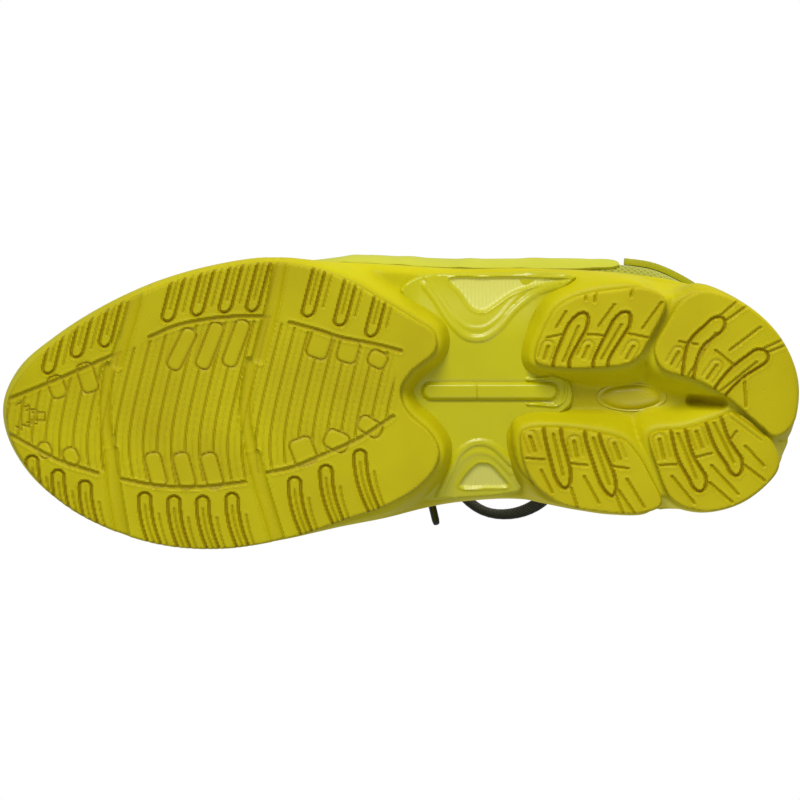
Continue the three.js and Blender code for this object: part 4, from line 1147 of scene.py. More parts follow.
def midsole():
    edge = centripetal(FOAM_EDGE, 8)
    upper_edge = centripetal(LIP_EDGE, 8)
    lips = lip_inside()
    bm = trimmed_grid(edge, 0.8)
    verts = list(bm.verts)
    at = np.array([v.co[:2] for v in verts])
    depth, painted_shade = midsole_relief().over(at)
    z = foam_underside(*at.T)
    rim, _, _ = nearest(at, edge, True)
    soft = 2.4 - np.sqrt(np.clip(2.4 ** 2 - np.clip(2.4 - rim, 0, None) ** 2, 0, None))
    for v, height in zip(verts, z + depth + soft):
        v.co.z = height

    def notch(x, y):
        places = np.where(y[:, None] > 0, LATERAL_CHANNELS, MEDIAL_CHANNELS)
        return np.exp(-((x[:, None] - places) / 2.0) ** 2).max(1)

    def wall(share, out, line=0.0):
        def row(base, away):
            x, y, low = base.T
            high = lip_top(x)
            _, above, _ = nearest(base[:, :2], upper_edge, True)
            k = float(ease(share, 0.1, 0.6))
            flow = 0.35 * np.sin(x / 11.0 + share * 5) * math.sin(math.pi * share)
            calm = 1 - 0.75 * ease(x, 0, 40)
            push = (out * calm + flow * calm + line - 1.5 * notch(x, y) * (1 - share) ** 2)[:, None]
            spot = base[:, :2] * (1 - k) + above * k + away * push
            return np.column_stack([spot, low + (high - low) * share])
        return row

    def inwards(drop, deeper):
        def row(base, away):
            x = base[:, 0]
            _, place, _ = nearest(base[:, :2], lips[:, :2], True)
            spot = place if deeper == 1 else base[:, :2] + (place - base[:, :2]) * deeper
            return np.column_stack([spot, lip_top(x) + drop])
        return row

    rows = [wall(s, o, l) for s, o, l in (
        (0.04, 0.35, 0), (0.09, 0.7, 0), (0.15, 0.95, 0), (0.22, 1.1, 0), (0.3, 1.2, 0), (0.38, 1.2, 0),
        (0.42, 1.15, 0), (0.445, 1.1, -0.7), (0.47, 1.05, -0.7), (0.495, 1.0, 0), (0.54, 0.9, 0),
        (0.62, 0.7, 0), (0.7, 0.5, 0), (0.735, 0.4, -0.5), (0.76, 0.35, -0.5), (0.79, 0.3, 0),
        (0.86, 0.1, 0), (0.93, -0.3, 0), (0.975, -0.8, 0))]
    rows += [inwards(0, 0.35), inwards(-0.15, 0.7), inwards(-0.5, 1)]
    rows.append(lambda base, away: np.column_stack([
        nearest(base[:, :2], lips[:, :2], True)[1], footbed(base[:, 0]) - 1.2]))
    ring = raised_border(bm, edge, rows)
    bmesh.ops.contextual_create(bm, geom=ring)
    obj = piece("midsole_foam_body", bm, "shoe", ["midsole_foam"], sharp=60)
    # Painted shade of the foam's grooves and the cavity's end, kept as the groove attribute.
    shade = {(round(a, 2), round(b, 2)): d for (a, b), d in zip(at, painted_shade)}
    tagged(obj, "groove", [shade.get((round(x, 2), round(y, 2)), 0) for x, y, _ in coords_of(obj)])
    obj.data.materials.append(foam())
    return obj


# ---- Arch plate ---------------------------------------------------------------------------------

PLATE = [
    (-57, 12), (-64, 6), (-64, -2), (-56, -7), (-43, -9), (-42, -22), (-46, -34), (-40, -36.2), (-25, -37.6),
    (-8, -38.6), (0, -40.5), (-10, -31), (-16.5, -24), (-17, -17), (-13, -10), (-4, -3), (-2, 4),
    (-6, 12), (-15, 18.5), (-15.5, 26), (-8, 33), (0, 41), (-6, 46), (-30, 47.4), (-66, 46.4),
    (-59, 40), (-52, 34), (-47.5, 22), (-48, 12)]
WINDOWS = {
    "lateral": [(-18, 45.2), (-32, 46), (-50, 46), (-64, 45.4), (-52, 43), (-42.6, 40), (-36, 35.6),
                (-31.6, 33),
                (-27, 34), (-22.2, 40)],
    "medial": [(-22.2, -33), (-26.1, -26.4), (-29.5, -24), (-33.6, -24.4), (-37.5, -28), (-40.8, -32.8),
               (-32, -33.6)]}
FRAMES = {
    "lateral": [(-9, 43), (-13, 38), (-19, 29), (-25, 23.6), (-31, 23.2), (-37, 27), (-43, 34), (-52, 40.6),
                (-63, 43.6)],
    "medial": [(-14.5, -37), (-18.6, -28), (-22.7, -19.6), (-28.4, -16.2), (-34.4, -17.2), (-41.6, -24)]}


def arch_plate():
    """A moulded plate with a rib along its middle, and a framed window to each side."""
    edge = centripetal(PLATE, 10)
    bm = trimmed_grid(edge, 0.5)
    verts = list(bm.verts)
    at = np.array([v.co[:2] for v in verts])
    x, y = at.T
    base = SLAB_BOTTOM + ground(x) + waist_lift(x, y) - SHANK_THICK - GAP
    relief = Relief()
    for line in FRAMES.values():
        curve = centripetal(line, 8, False)
        relief.cut(curve, 2.8, -0.7, 0)
        relief.cut(curve + (0, 3.8 * np.sign(line[0][1])), 2.0, -0.25, 0)
    relief.cut(centripetal([(-47.7, 7.6), (-53, 8), (-58.2, 8.4), (-61.6, 6.6), (-62.3, 3.2), (-61.4, -0.2),
                            (-58.6, -2.2), (-53, -1.9), (-47.7, -1.6)], 6, False), 1.3, -0.8, 0)
    depth, painted_shade = relief.over(at)
    rod, _, _ = nearest(at, np.array([(-11.4, 3.2), (-55.8, 3.2)]))
    split = np.clip(1 - np.abs(x + 28.7) / 0.5, 0, 1) * (rod < 3.2)
    depth = depth - 1.5 * (1 - ease(rod, 2.2, 3.5)) + 0.35 * split
    # The groove beside the rib and the split across it are painted darker, as shade.
    groove = np.clip(1 - np.abs(rod - 3.7) / 0.6, 0, 1)
    depth, painted_shade = depth + 0.3 * groove, np.maximum(painted_shade, 0.35 * groove + 0.4 * split)
    window = np.zeros(len(at))
    for points in WINDOWS.values():
        pane = centripetal(points, 8)
        within = inside(at, pane)
        gone, _, _ = nearest(at, pane, True)
        sunk = np.where(within, ease(gone, 0, 1.2), 0)
        depth = depth + 0.9 * sunk
        window = np.maximum(window, sunk)
        rim_ = np.clip(1 - np.abs(gone - 0.3) / 0.7, 0, 1)
        depth = depth - 0.35 * rim_ * ~within
    rim, _, _ = nearest(at, edge, True)
    depth = depth + 1.0 - np.sqrt(np.clip(1 - np.clip(1 - rim, 0, None) ** 2, 0, None))
    for v, height in zip(verts, base + depth):
        v.co.z = height
    # Painted groove shade and the window's paler colour, by place.
    tones = {(round(a, 2), round(b, 2)): (d, w) for (a, b), d, w in zip(at, painted_shade, window)}
    ring = raised_border(bm, edge, [lambda b, out: np.column_stack(
        [b[:, :2], SLAB_BOTTOM + ground(b[:, 0]) + waist_lift(b[:, 0], b[:, 1]) + 0.3])])
    bmesh.ops.contextual_create(bm, geom=ring)
    obj = piece("arch_shank_plate", bm, "shoe", ["arch_shank"])
    tones = [tones.get((round(a, 2), round(b, 2)), (0, 0)) for a, b, _ in coords_of(obj)]
    tagged(obj, "groove", [t[0] for t in tones])
    tagged(obj, "window", [t[1] for t in tones])
    obj.data.materials.append(arch_plastic())


def heel_insert_dome():
    """The oval gel pad that shows through the foam: a raised rim and a low dome."""
    bm = bmesh.new()
    profile = [(0, 12.2), (0.35, 12.3), (0.62, 12.7), (0.78, 13.5), (0.84, 14.1), (0.9, 13.6), (0.97, 13.5),
               (1, 14.2), (1, 17), (0, 17)]
    verts = [bm.verts.new((r, 0, z)) for r, z in profile]
    edges = [bm.edges.new(pair) for pair in zip(verts, verts[1:])]
    bmesh.ops.spin(bm, geom=verts + edges, cent=(0, 0, 0), axis=(0, 0, 1), angle=2 * math.pi, steps=72,
                   use_merge=True)
    bmesh.ops.remove_doubles(bm, verts=bm.verts, dist=0.0005)
    bmesh.ops.scale(bm, verts=bm.verts, vec=(13.6, 5.4, 1))
    bmesh.ops.translate(bm, verts=bm.verts, vec=(-87, 0.8, 0))
    obj = piece("heel_gel_dome", bm, "shoe", sharp=70)
    obj.data.materials.append(GEL)


GEL = gel()
midsole()
arch_plate()
heel_insert_dome()


# ---- Upper: cloths and covers -------------------------------------------------------------------

ROUND_MM = 24.0  # about how long one station is, and one rib, in millimetres
RISE_MM = 66.0


def knit(name, plain, deep, loose=1.0):
    """Spacer knit: a thick, open polyester mesh with staggered eyelets and a soft, dry face."""
    mat, tree, shader = finish(name, plain, 0.82, Sheen_Weight=0.3, Sheen_Roughness=0.45)
    at = node(tree, "ShaderNodeUVMap", uv_map="cloth").outputs[0]
    # Open eyelets on a staggered net, 2.2 mm across the rows; it is drawn as coarse as it shows.
    turned = node(tree, "ShaderNodeMapping", {"Vector": at, "Rotation": (0, 0, math.radians(45)),
                                              "Scale": (0.62 / loose, 0.62 / loose, 1)})
    net = node(tree, "ShaderNodeTexVoronoi", {"Vector": turned.outputs[0], "Scale": 1.0, "Randomness": 0.0},
               voronoi_dimensions="2D")
    hole = node(tree, "ShaderNodeMapRange", {"Value": net.outputs["Distance"], 1: 0.16, 2: 0.36}).outputs[0]
    # Wales, the knit's own columns, 0.8 mm apart.
    wale = node(tree, "ShaderNodeTexWave", {"Vector": at, "Scale": 0.39, "Distortion": 0.6},
                bands_direction="X")
    course = node(tree, "ShaderNodeTexWave", {"Vector": at, "Scale": 0.46, "Distortion": 0.4},
                  bands_direction="Y")
    yarn = worked(tree, wale.outputs["Fac"], course.outputs["Fac"], "MULTIPLY")
    height = worked(tree, hole, worked(tree, yarn, 0.35, "MULTIPLY"), "ADD")
    cloud = node(tree, "ShaderNodeTexNoise", {"Vector": object_coords(tree), "Scale": 60.0, "Detail": 3.0})
    face = toned(tree, deep, plain, cloud.outputs["Fac"])
    # Painted shade: the open eyelets are coloured deep, for the shade inside them.
    shade = node(tree, "ShaderNodeMix", {0: hole, 6: linear(deep), 7: face}, data_type="RGBA")
    tree.links.new(shade.outputs[2], shader.inputs["Base Color"])
    bumped(tree, shader, height, 0.7, 0.0006)
    return mat


def film(name, plain, deep, rough=0.42):
    """Welded PU film: a smooth, matte skin that lets a little of the knit under it show."""
    mat, tree, shader = finish(name, plain, rough, IOR=1.46, Coat_Weight=0.12, Coat_Roughness=0.35)
    at = node(tree, "ShaderNodeUVMap", uv_map="cloth").outputs[0]
    under = node(tree, "ShaderNodeTexVoronoi", {"Vector": at, "Scale": 0.7, "Randomness": 0.25},
                 voronoi_dimensions="2D")
    cloud = node(tree, "ShaderNodeTexNoise", {"Vector": object_coords(tree), "Scale": 45.0, "Detail": 3.0})
    tree.links.new(toned(tree, deep, plain, cloud.outputs["Fac"]), shader.inputs["Base Color"])
    bumped(tree, shader, under.outputs["Distance"], 0.18, 0.0003)
    return mat


def woven(name, plain, deep, pitch=1.0, rough=0.8):
    """A close weave or webbing: two sets of threads that go over and under each other."""
    mat, tree, shader = finish(name, plain, rough, Sheen_Weight=0.25, Sheen_Roughness=0.5)
    at = node(tree, "ShaderNodeUVMap", uv_map="cloth").outputs[0]
    warp = node(tree, "ShaderNodeTexWave", {"Vector": at, "Scale": 0.314 / pitch}, bands_direction="X")
    weft = node(tree, "ShaderNodeTexWave", {"Vector": at, "Scale": 0.314 / pitch}, bands_direction="Y")
    over = worked(tree, warp.outputs["Fac"], weft.outputs["Fac"], "MULTIPLY")
    # Painted shade: the threads are coloured darker where they dip under and lighter where they go over.
    tree.links.new(toned(tree, deep, plain, over), shader.inputs["Base Color"])
    bumped(tree, shader, over, 0.55, 0.0004)
    return mat


def panel_grid(w0, w1, h0, h1, cell=1.3):
    """A grid over part of the upper, by stations and by height up the ribs."""
    nw = max(2, round(abs(w1 - w0) * ROUND_MM / cell / 2) * 2)
    nh = max(2, round((h1 - h0) * RISE_MM / cell))
    bm = bmesh.new()
    bmesh.ops.create_grid(bm, x_segments=nw, y_segments=nh, size=0.5)
    bmesh.ops.translate(bm, verts=bm.verts, vec=(0.5, 0.5, 0))
    bmesh.ops.scale(bm, verts=bm.verts, vec=(w1 - w0, h1 - h0, 1))
    bmesh.ops.translate(bm, verts=bm.verts, vec=(w0, h0, 0))
    return bm


def cut_panel(corners, cell=1.0):
    """A grid inside a smooth outline, given by stations and heights."""
    edge = centripetal(np.array(corners) * (ROUND_MM, RISE_MM), 8)
    bm = trimmed_grid(edge, cell)
    bmesh.ops.scale(bm, verts=bm.verts, vec=(1 / ROUND_MM, 1 / RISE_MM, 1))
    return bm


def laid(bm, depth, holes=False, relief=None):
    """Lays a flat pattern on the upper at a depth, with its own UV map in millimetres."""
    verts = list(bm.verts)
    flat = np.array([v.co[:2] for v in verts])
    uv = bm.loops.layers.uv.new("cloth")
    for face in bm.faces:
        for loop in face.loops:
            loop[uv].uv = (loop.vert.co.x * ROUND_MM, loop.vert.co.y * RISE_MM)
    deep = depth(flat[:, 0], flat[:, 1]) if callable(depth) else np.full(len(verts), float(depth))
    if relief is not None:
        deep = deep + relief(flat[:, 0], flat[:, 1])
    for v, place in zip(verts, skin(flat[:, 0], np.clip(flat[:, 1], 0, 1), deep)):
        v.co = place
    if holes:
        gone = set()
        for e in eyelets.values():
            axis, at = Vector(e["normal"]), Vector(e["at"])
            for face in bm.faces:
                off = face.calc_center_median() - at
                along = off.dot(axis)
                if abs(along) < 9 and (off - axis * along).length < 3.35:
                    gone.add(face)
        bmesh.ops.delete(bm, geom=list(gone), context="FACES")
    bmesh.ops.remove_doubles(bm, verts=bm.verts, dist=0.02)
    return bm


def turned_out(bm, middle=(0, 0, 45)):
    """Faces an open sheet away from the inside of the shoe."""
    bmesh.ops.recalc_face_normals(bm, faces=bm.faces)
    total = 0.0
    for f in bm.faces:
        c = f.calc_center_median()
        total += f.normal.dot(Vector((0, c.y - middle[1], c.z - middle[2]))) * f.calc_area()
    if total < 0:
        bmesh.ops.reverse_faces(bm, faces=bm.faces)
    return bm


def clothed(name, bm, thick, replaces, material, body="shoe", rim=0.0):
    """A sheet with its thickness, on its inner side."""
    obj = piece(name, turned_out(bm), body, replaces, sharp=50, turned=False)
    wall = obj.modifiers.new("thickness", "SOLIDIFY")
    wall.thickness, wall.offset, wall.use_even_offset = thick / 1000, -1, False
    if rim:
        soft = obj.modifiers.new("soft_rim", "BEVEL")
        soft.width, soft.segments, soft.limit_method = rim / 1000, 2, "ANGLE"
        soft.angle_limit = math.radians(60)
    obj.data.materials.append(material)
    return obj


def padding(w, h):
    return COLLAR_PAD * ease(h, 0.5, 0.68) * (1 - ease(station_of(w), 4.6, 5.6))


def lining_face(w, h):
    return -LINING_DEPTH - padding(w, h)


KNIT = knit("spacer_knit_citron", "c2c424", "8d8d0c")
FILM = film("welded_film_citron", "c8c93a", "b3b322")
GUARD = film("moulded_toe_film", "bfbf2c", "a9a818", 0.36)
BLACK_MESH = woven("lining_mesh_black", "1b1c1f", "0c0c0e", 1.3)
BINDING = woven("collar_tape_black", "202126", "0e0e10", 0.9)
WEBBING = woven("pull_webbing_black", "1d1e22", "0d0d10", 1.2)

clothed("vamp_knit", laid(panel_grid(10.008, 17.992, 0, 1), 0), FABRIC, ["vamp"], KNIT)
SIDES = {"lateral": lambda a, b: (a, b), "medial": lambda a, b: (opposite(b), opposite(a))}
EYESTAY = [(6.03, 0.99), (6.05, 0.72), (6.35, 0.585), (7, 0.565), (7.5, 0.605), (8.1, 0.57), (8.7, 0.61),
           (9.3, 0.585), (9.75, 0.64), (9.96, 0.8), (9.96, 0.99), (8, 0.995)]
SIDE_BAND = [(3.52, 0.2), (3.9, 0.155), (5.2, 0.15), (6.6, 0.15), (8.2, 0.15), (9.6, 0.15), (10.45, 0.16),
             (10.3, 0.25), (9.6, 0.36), (8.9, 0.3), (8.2, 0.26), (7.4, 0.37), (6.8, 0.41), (6.2, 0.31),
             (5.6, 0.25),
             (4.9, 0.35), (4.3, 0.405), (3.8, 0.33)]


def mirrored(corners, side):
    return corners if side == "lateral" else [(opposite(w), h) for w, h in corners]


def eyestay_relief(w, h):
    """Two shallow pressed lines that run along the lace holes."""
    return -0.35 * np.exp(-((h - 0.66 - 0.02 * np.sin(station_of(w) * 6)) / 0.012) ** 2)


def band_relief(w, h):
    """Slanting pressed ribs."""
    return 0.3 * np.clip(np.sin((station_of(w) * 6.5 + h * 9)), 0, 1) ** 2


for side in ("lateral", "medial"):
    a, b = SIDES[side](0.008, 9.992)
    clothed(f"{side}_quarter_knit", laid(panel_grid(a, b, 0, 1), 0, holes=True), FABRIC,
            [f"{side}_quarter"], KNIT)
    clothed(f"{side}_eyestay_film", laid(cut_panel(mirrored(EYESTAY, side), 0.9), GAP + OVERLAY, True,
                                         eyestay_relief),
            OVERLAY, [f"{side}_eyestay"], FILM, rim=0.25)
    clothed(f"{side}_band_film", laid(cut_panel(mirrored(SIDE_BAND, side)), GAP + OVERLAY, False,
                                      band_relief),
            OVERLAY, [f"{side}_side_band"], FILM, rim=0.25)

TOE_GUARD = [(10.52, 0.3), (11.2, 0.285), (12.5, 0.285), (14, 0.285), (15.5, 0.285), (16.8, 0.285),
             (17.48, 0.3),
             (17.3, 0.42), (16.6, 0.5), (15.6, 0.47), (14.7, 0.53), (14, 0.55), (13.3, 0.53), (12.4, 0.47),
             (11.4, 0.5), (10.7, 0.42)]
clothed("toe_guard_film", laid(cut_panel(TOE_GUARD), GAP + OVERLAY), OVERLAY, ["toe_guard"],
        GUARD,
        rim=0.25)
HEEL_COVER = [(-3.45, 0.34), (-2.6, 0.29), (-1, 0.285), (1, 0.285), (2.6, 0.29), (3.45, 0.34), (3.2, 0.5),
              (2.3, 0.56),
              (1.4, 0.67), (0.6, 0.695), (-0.6, 0.695), (-1.4, 0.67), (-2.3, 0.56), (-3.2, 0.5)]


def heel_cover_relief(w, h):
    """Curved ribs that run round the heel and fade to the sides."""
    wave = np.clip(np.sin((h * 1.0 + 0.012 * w * w) * 85), 0, 1)
    return 0.55 * wave * (1 - ease(np.abs(w), 1.6, 3.0)) * ease(h, 0.32, 0.38) * (1 - ease(h, 0.6, 0.66))


COVER = film("moulded_heel_cover", "b8b60e", "a3a006", 0.24)
clothed("heel_cover_shell", laid(cut_panel(HEEL_COVER, 0.8), GAP + 2 * OVERLAY, False, heel_cover_relief),
        2 * OVERLAY, ["heel_cover"], COVER, rim=0.4)

# ---- Linings, collar and tongue -----------------------------------------------------------------

clothed("vamp_lining_cloth", laid(panel_grid(10.02, 17.98, 0, 1, 2.4), lining_face), LINING,
        ["vamp_lining"], BLACK_MESH)
for side in ("lateral", "medial"):
    a, b = SIDES[side](6.01, 9.98)
    clothed(f"{side}_lining_cloth", laid(panel_grid(a, b, 0, 0.7, 2.4), lining_face), LINING,
            [f"{side}_side_lining"], BLACK_MESH)


def inflated(obj, voxel=0.0045, cap=0.0022, pressure=4.0):
    """Swells a padded piece: cloth round air, with how far a point may move held down."""
    again = obj.modifiers.new("even", "REMESH")
    again.mode, again.voxel_size = "VOXEL", voxel
    settle(obj)
    start = np.empty(len(obj.data.vertices) * 3)
    obj.data.vertices.foreach_get("co", start)
    cloth = obj.modifiers.new("swell", "CLOTH")
    cloth.settings.use_pressure = True
    cloth.settings.uniform_pressure_force = pressure
    cloth.settings.effector_weights.gravity = 0
    for k in range(1, 21):
        scene.frame_set(k)
    settle(obj)
    end = np.empty(len(start))
    obj.data.vertices.foreach_get("co", end)
    moved = (end - start).reshape(-1, 3)
    far = np.linalg.norm(moved, axis=1, keepdims=True)
    moved *= np.minimum(1, cap / np.maximum(far, 1e-9))
    obj.data.vertices.foreach_set("co", (start.reshape(-1, 3) + moved).ravel())
    scene.frame_set(1)
    finer = obj.modifiers.new("finer", "SUBSURF")
    finer.levels = finer.render_levels = 1
    settle(obj)
    for face in obj.data.polygons:
        face.use_smooth = True


def settle(obj):
    """Makes a piece's modifiers part of its mesh."""
    with bpy.context.temp_override(object=obj, active_object=obj, selected_objects=[obj]):
        for item in list(obj.modifiers):
            bpy.ops.object.modifier_apply(modifier=item.name)


def quilted(name, plain, deep):
    """Lining cloth over foam: a fine black mesh that follows the pad's swell."""
    mat, tree, shader = finish(name, plain, 0.85, Sheen_Weight=0.4, Sheen_Roughness=0.5)
    at = object_coords(tree)
    # A net 1.3 mm across, on the pad's own place, so that it needs no seam.
    net = node(tree, "ShaderNodeTexVoronoi", {"Vector": at, "Scale": 760.0, "Randomness": 0.35})
    # Painted shade: the net's hollows are coloured darker.
    tree.links.new(toned(tree, deep, plain, net.outputs["Distance"]), shader.inputs["Base Color"])
    bumped(tree, shader, net.outputs["Distance"], 0.6, 0.0005)
    return mat


PAD_CLOTH = quilted("padded_mesh_black", "202125", "0d0d10")


def pad_between(w0, w1, h0, h1, face, back, cell):
    """A closed pad between two depths under the surface."""
    bm = panel_grid(w0, w1, h0, h1, cell)
    top = list(bm.verts)
    made = bmesh.ops.extrude_face_region(bm, geom=list(bm.faces))["geom"]
    low = [g for g in made if isinstance(g, bmesh.types.BMVert)]
    for verts, depth in ((top, face), (low, back)):
        at = np.array([v.co[:2] for v in verts])
        for v, place in zip(verts, skin(at[:, 0], at[:, 1], depth(at[:, 0], at[:, 1]))):
            v.co = place
    return bm


def collar_cushion():
    """The collar's pad: foam and lining in one, from its lower seam up to the tape."""
    bm = pad_between(-5.4, 5.4, 0.52, 0.985,
                     lambda w, h: np.full(len(w), -FABRIC - GAP - 0.3),
                     lambda w, h: lining_face(w, h) - LINING + 0.9 * ease(padding(w, h), 0.8, 3), 2.6)
    obj = piece("collar_cushion", bm, "shoe", ["collar_foam"])
    inflated(obj, cap=0.0016)
    obj.data.materials.append(PAD_CLOTH)


collar_cushion()
clothed("collar_lining_cloth", laid(panel_grid(-5.99, 5.99, 0, 0.985, 2.0), lambda w,
                                    h: lining_face(w, h) + 0.0),
        LINING, ["collar_lining"], BLACK_MESH)


def collar_tape():
    """A knitted tape folded over the collar's edge, round in section."""
    ws = np.linspace(-5.5, 5.5, 150)
    outer = skin(ws, np.ones(150), 0.6)
    inner = skin(ws, np.ones(150), lining_face(ws, np.ones(150)) - LINING - 0.6)
    middle, half = (outer + inner) / 2, (outer - inner) / 2
    high = np.maximum(outer[:, 2], inner[:, 2])
    turns = np.linspace(0, 2 * math.pi, 15)[:-1]
    rings = np.array([[(x + a * math.cos(t), y + b * math.cos(t),
                        z + 1.3 + math.sin(t) * (1.2 if math.sin(t) > 0 else 2.6)) for t in turns]
                      for (x, y, _), (a, b, _), z in zip(middle, half, high)])
    bm = tube(rings, 1.75 * np.arange(len(ws)), 1.1, "cloth")
    obj = piece("collar_tape", bm, "shoe", ["collar_binding"], sharp=80)
    obj.data.materials.append(BINDING)


collar_tape()

TONGUE_RISE = 22


def tongue_rings(count):
    """Arches of the tongue's face, from its sewn end to its free top."""
    stations = np.linspace(10.9, 6.05, count)
    arches = [across(s, tongue_depth(s)) for s in stations]
    last = arches[-1]
    crown = last[5]
    for t in np.linspace(0, 1, count // 3 + 1)[1:]:
        free = last.copy()
        free[:, 1] *= 1 - 0.34 * math.sqrt(t)
        free[:, 2] = crown[2] + (last[:, 2] - crown[2]) * (1 - 0.45 * t)
        arches.append(free + np.array([-0.35, 0, 0.94]) * TONGUE_RISE * t)
    return np.array(arches)


def finer_arches(rings, count):
    """Each arch as a smooth curve of count places, evenly spread."""
    made = []
    for arch in rings:
        line = centripetal(arch, 6, False)
        gone = np.concatenate([[0], np.cumsum(np.linalg.norm(np.diff(line, axis=0), axis=1))])
        even = np.linspace(0, gone[-1], count)
        made.append(np.column_stack([np.interp(even, gone, line[:, k]) for k in range(3)]))
    made = np.array(made)
    for _ in range(3):
        made[1:-1] = (made[:-2] + 2 * made[1:-1] + made[2:]) / 4
    return made


ARCHES = finer_arches(tongue_rings(45), 41)
along = np.gradient(ARCHES, axis=0)
sideward = np.gradient(ARCHES, axis=1)
TONGUE_OUT = np.cross(sideward, along)
TONGUE_OUT /= np.linalg.norm(TONGUE_OUT, axis=2, keepdims=True)
if TONGUE_OUT[20, 20, 2] < 0:
    TONGUE_OUT = -TONGUE_OUT


def tongue_sheet(depth, narrow=0, step=1):
    """A grid over the tongue at a depth, which may vary across it."""
    rows, cols = ARCHES.shape[:2]
    ks, js = np.arange(0, rows, step), np.arange(narrow, cols - narrow, step)
    bm = bmesh.new()
    bmesh.ops.create_grid(bm, x_segments=len(ks) - 1, y_segments=len(js) - 1, size=0.5)
    uv = bm.loops.layers.uv.new("cloth")
    verts = list(bm.verts)
    for face in bm.faces:
        for loop in face.loops:
            loop[uv].uv = ((loop.vert.co.x + 0.5) * 150, (loop.vert.co.y + 0.5) * 52)
    for v in verts:
        k = ks[round((v.co.x + 0.5) * (len(ks) - 1))]
        j = js[round((v.co.y + 0.5) * (len(js) - 1))]
        v.co = ARCHES[k, j] + TONGUE_OUT[k, j] * depth(k / (rows - 1), j / (cols - 1))
    return bm


def tongue():
    face = tongue_sheet(lambda t, q: 0.0)
    sheet = clothed("tongue_face_knit", face, 1.4, ["tongue_face"],
                    knit("tongue_knit_citron", "babb26", "84840c", 0.8), body="tongue")

    def swell(t, q):
        return float(min(ease(q, 0.06, 0.24), ease(1 - q, 0.06, 0.24)) * ease(1 - t, 0, 0.06))

    body = tongue_sheet(lambda t, q: -1.7, narrow=2, step=2)
    made = bmesh.ops.extrude_face_region(body, geom=list(body.faces))["geom"]
    low = [g for g in made if isinstance(g, bmesh.types.BMVert)]
    rows, cols = ARCHES.shape[:2]
    flat = ARCHES.reshape(-1, 3) - 1.7 * TONGUE_OUT.reshape(-1, 3)
    for v in low:
        i = int(np.argmin(((flat - np.array(v.co)) ** 2).sum(1)))
        k, j = divmod(i, cols)
        v.co = ARCHES[k, j] - TONGUE_OUT[k, j] * (2.5 + 4.0 * swell(k / (rows - 1), j / (cols - 1)))
    pad = piece("tongue_cushion", body, "tongue", ["tongue_foam", "tongue_backing"])
    inflated(pad, voxel=0.004, cap=0.0014)
    pad.data.materials.append(PAD_CLOTH)
    return sheet


tongue()


def eyelet_ring(name, e):
    """A turned ring: a rounded flange on the eyestay and a sleeve down through the hole."""
    bm = bmesh.new()
    base = GAP + OVERLAY
    profile = [(2.6, -FABRIC), (2.6, base - 0.1), (2.75, base + 0.35), (3.1, base + 0.55), (3.6, base + 0.5),
               (4.0, base + 0.2), (4.05, base - 0.05), (3.4, base - 0.1), (3.2, -FABRIC), (2.6, -FABRIC)]
    verts = [bm.verts.new((r, 0, z)) for r, z in profile[:-1]]
    edges = [bm.edges.new((verts[i], verts[(i + 1) % len(verts)])) for i in range(len(verts))]
    bmesh.ops.spin(bm, geom=verts + edges, cent=(0, 0, 0), axis=(0, 0, 1), angle=2 * math.pi, steps=28,
                   use_merge=True)
    bmesh.ops.remove_doubles(bm, verts=bm.verts, dist=0.001)
    turned = Vector(e["normal"]).to_track_quat("Z", "Y").to_matrix().to_4x4()
    bmesh.ops.transform(bm, matrix=Matrix.Translation(Vector(e["at"])) @ turned, verts=bm.verts)
    obj = piece(f"{name}_ring", bm, "shoe", [name], sharp=60)
    obj.data.materials.append(RING)


def plain_plastic(name, colour, deep, rough):
    """Moulded plastic with a faint spark-eroded grain."""
    mat, tree, shader = finish(name, colour, rough, IOR=1.5)
    at = object_coords(tree)
    grain = node(tree, "ShaderNodeTexNoise", {"Vector": at, "Scale": 1800.0, "Detail": 2.0})
    tree.links.new(toned(tree, deep, colour, grain.outputs["Fac"]), shader.inputs["Base Color"])
    bumped(tree, shader, grain.outputs["Fac"], 0.15, 0.0001)
    return mat


RING = plain_plastic("eyelet_nylon_black", "1a1b1e", "101113", 0.4)
TIP_FILM = plain_plastic("lace_tip_acetate_black", "141518", "0c0d0f", 0.18)
for tip in TIPS:
    tip.data.materials.append(TIP_FILM)
for (i, side), e in eyelets.items():
    eyelet_ring(f"{'lateral' if side > 0 else 'medial'}_eyelet_{i + 1}", e)

PULL_LINE = [(-1.2, 0), (-1.9, 9), (-1, 17), (2.4, 24), (1.6, 31), (-4, 34.5), (-10.5, 31), (-12.5, 22),
             (-9.5, 12),
             (-4.6, 3), (-2.8, 0)]


def pull_loop():
    """A webbing tape folded into a loop, both ends sewn to the heel."""
    foot = rib(0.0, 0.84)
    line = centripetal(PULL_LINE, 6, False)
    path = np.column_stack([line[:, 0] + foot[0], 0 * line[:, 0], line[:, 1] + foot[2]])
    sideways = np.array([0.0, 1.0, 0.0])
    way = np.gradient(path, axis=0)
    normals = np.cross(way, sideways)
    normals /= np.linalg.norm(normals, axis=1, keepdims=True)
    turns = np.linspace(0, 2 * math.pi, 17)[:-1]
    profile = [(5.9 * math.copysign(abs(math.cos(t)) ** 0.35, math.cos(t)),
                0.68 * math.copysign(abs(math.sin(t)) ** 0.6, math.sin(t))) for t in turns]
    bm = swept(path, normals, profile)
    layer = bm.loops.layers.uv["run"]
    cloth = bm.loops.layers.uv.new("cloth")
    for face in bm.faces:
        for loop in face.loops:
            loop[cloth].uv = loop[layer].uv
    obj = piece("heel_pull_webbing", bm, "heel_loop", ["heel_pull_loop"], sharp=80)
    obj.data.materials.append(WEBBING)


pull_loop()

# ---- Stitches -----------------------------------------------------------------------------------

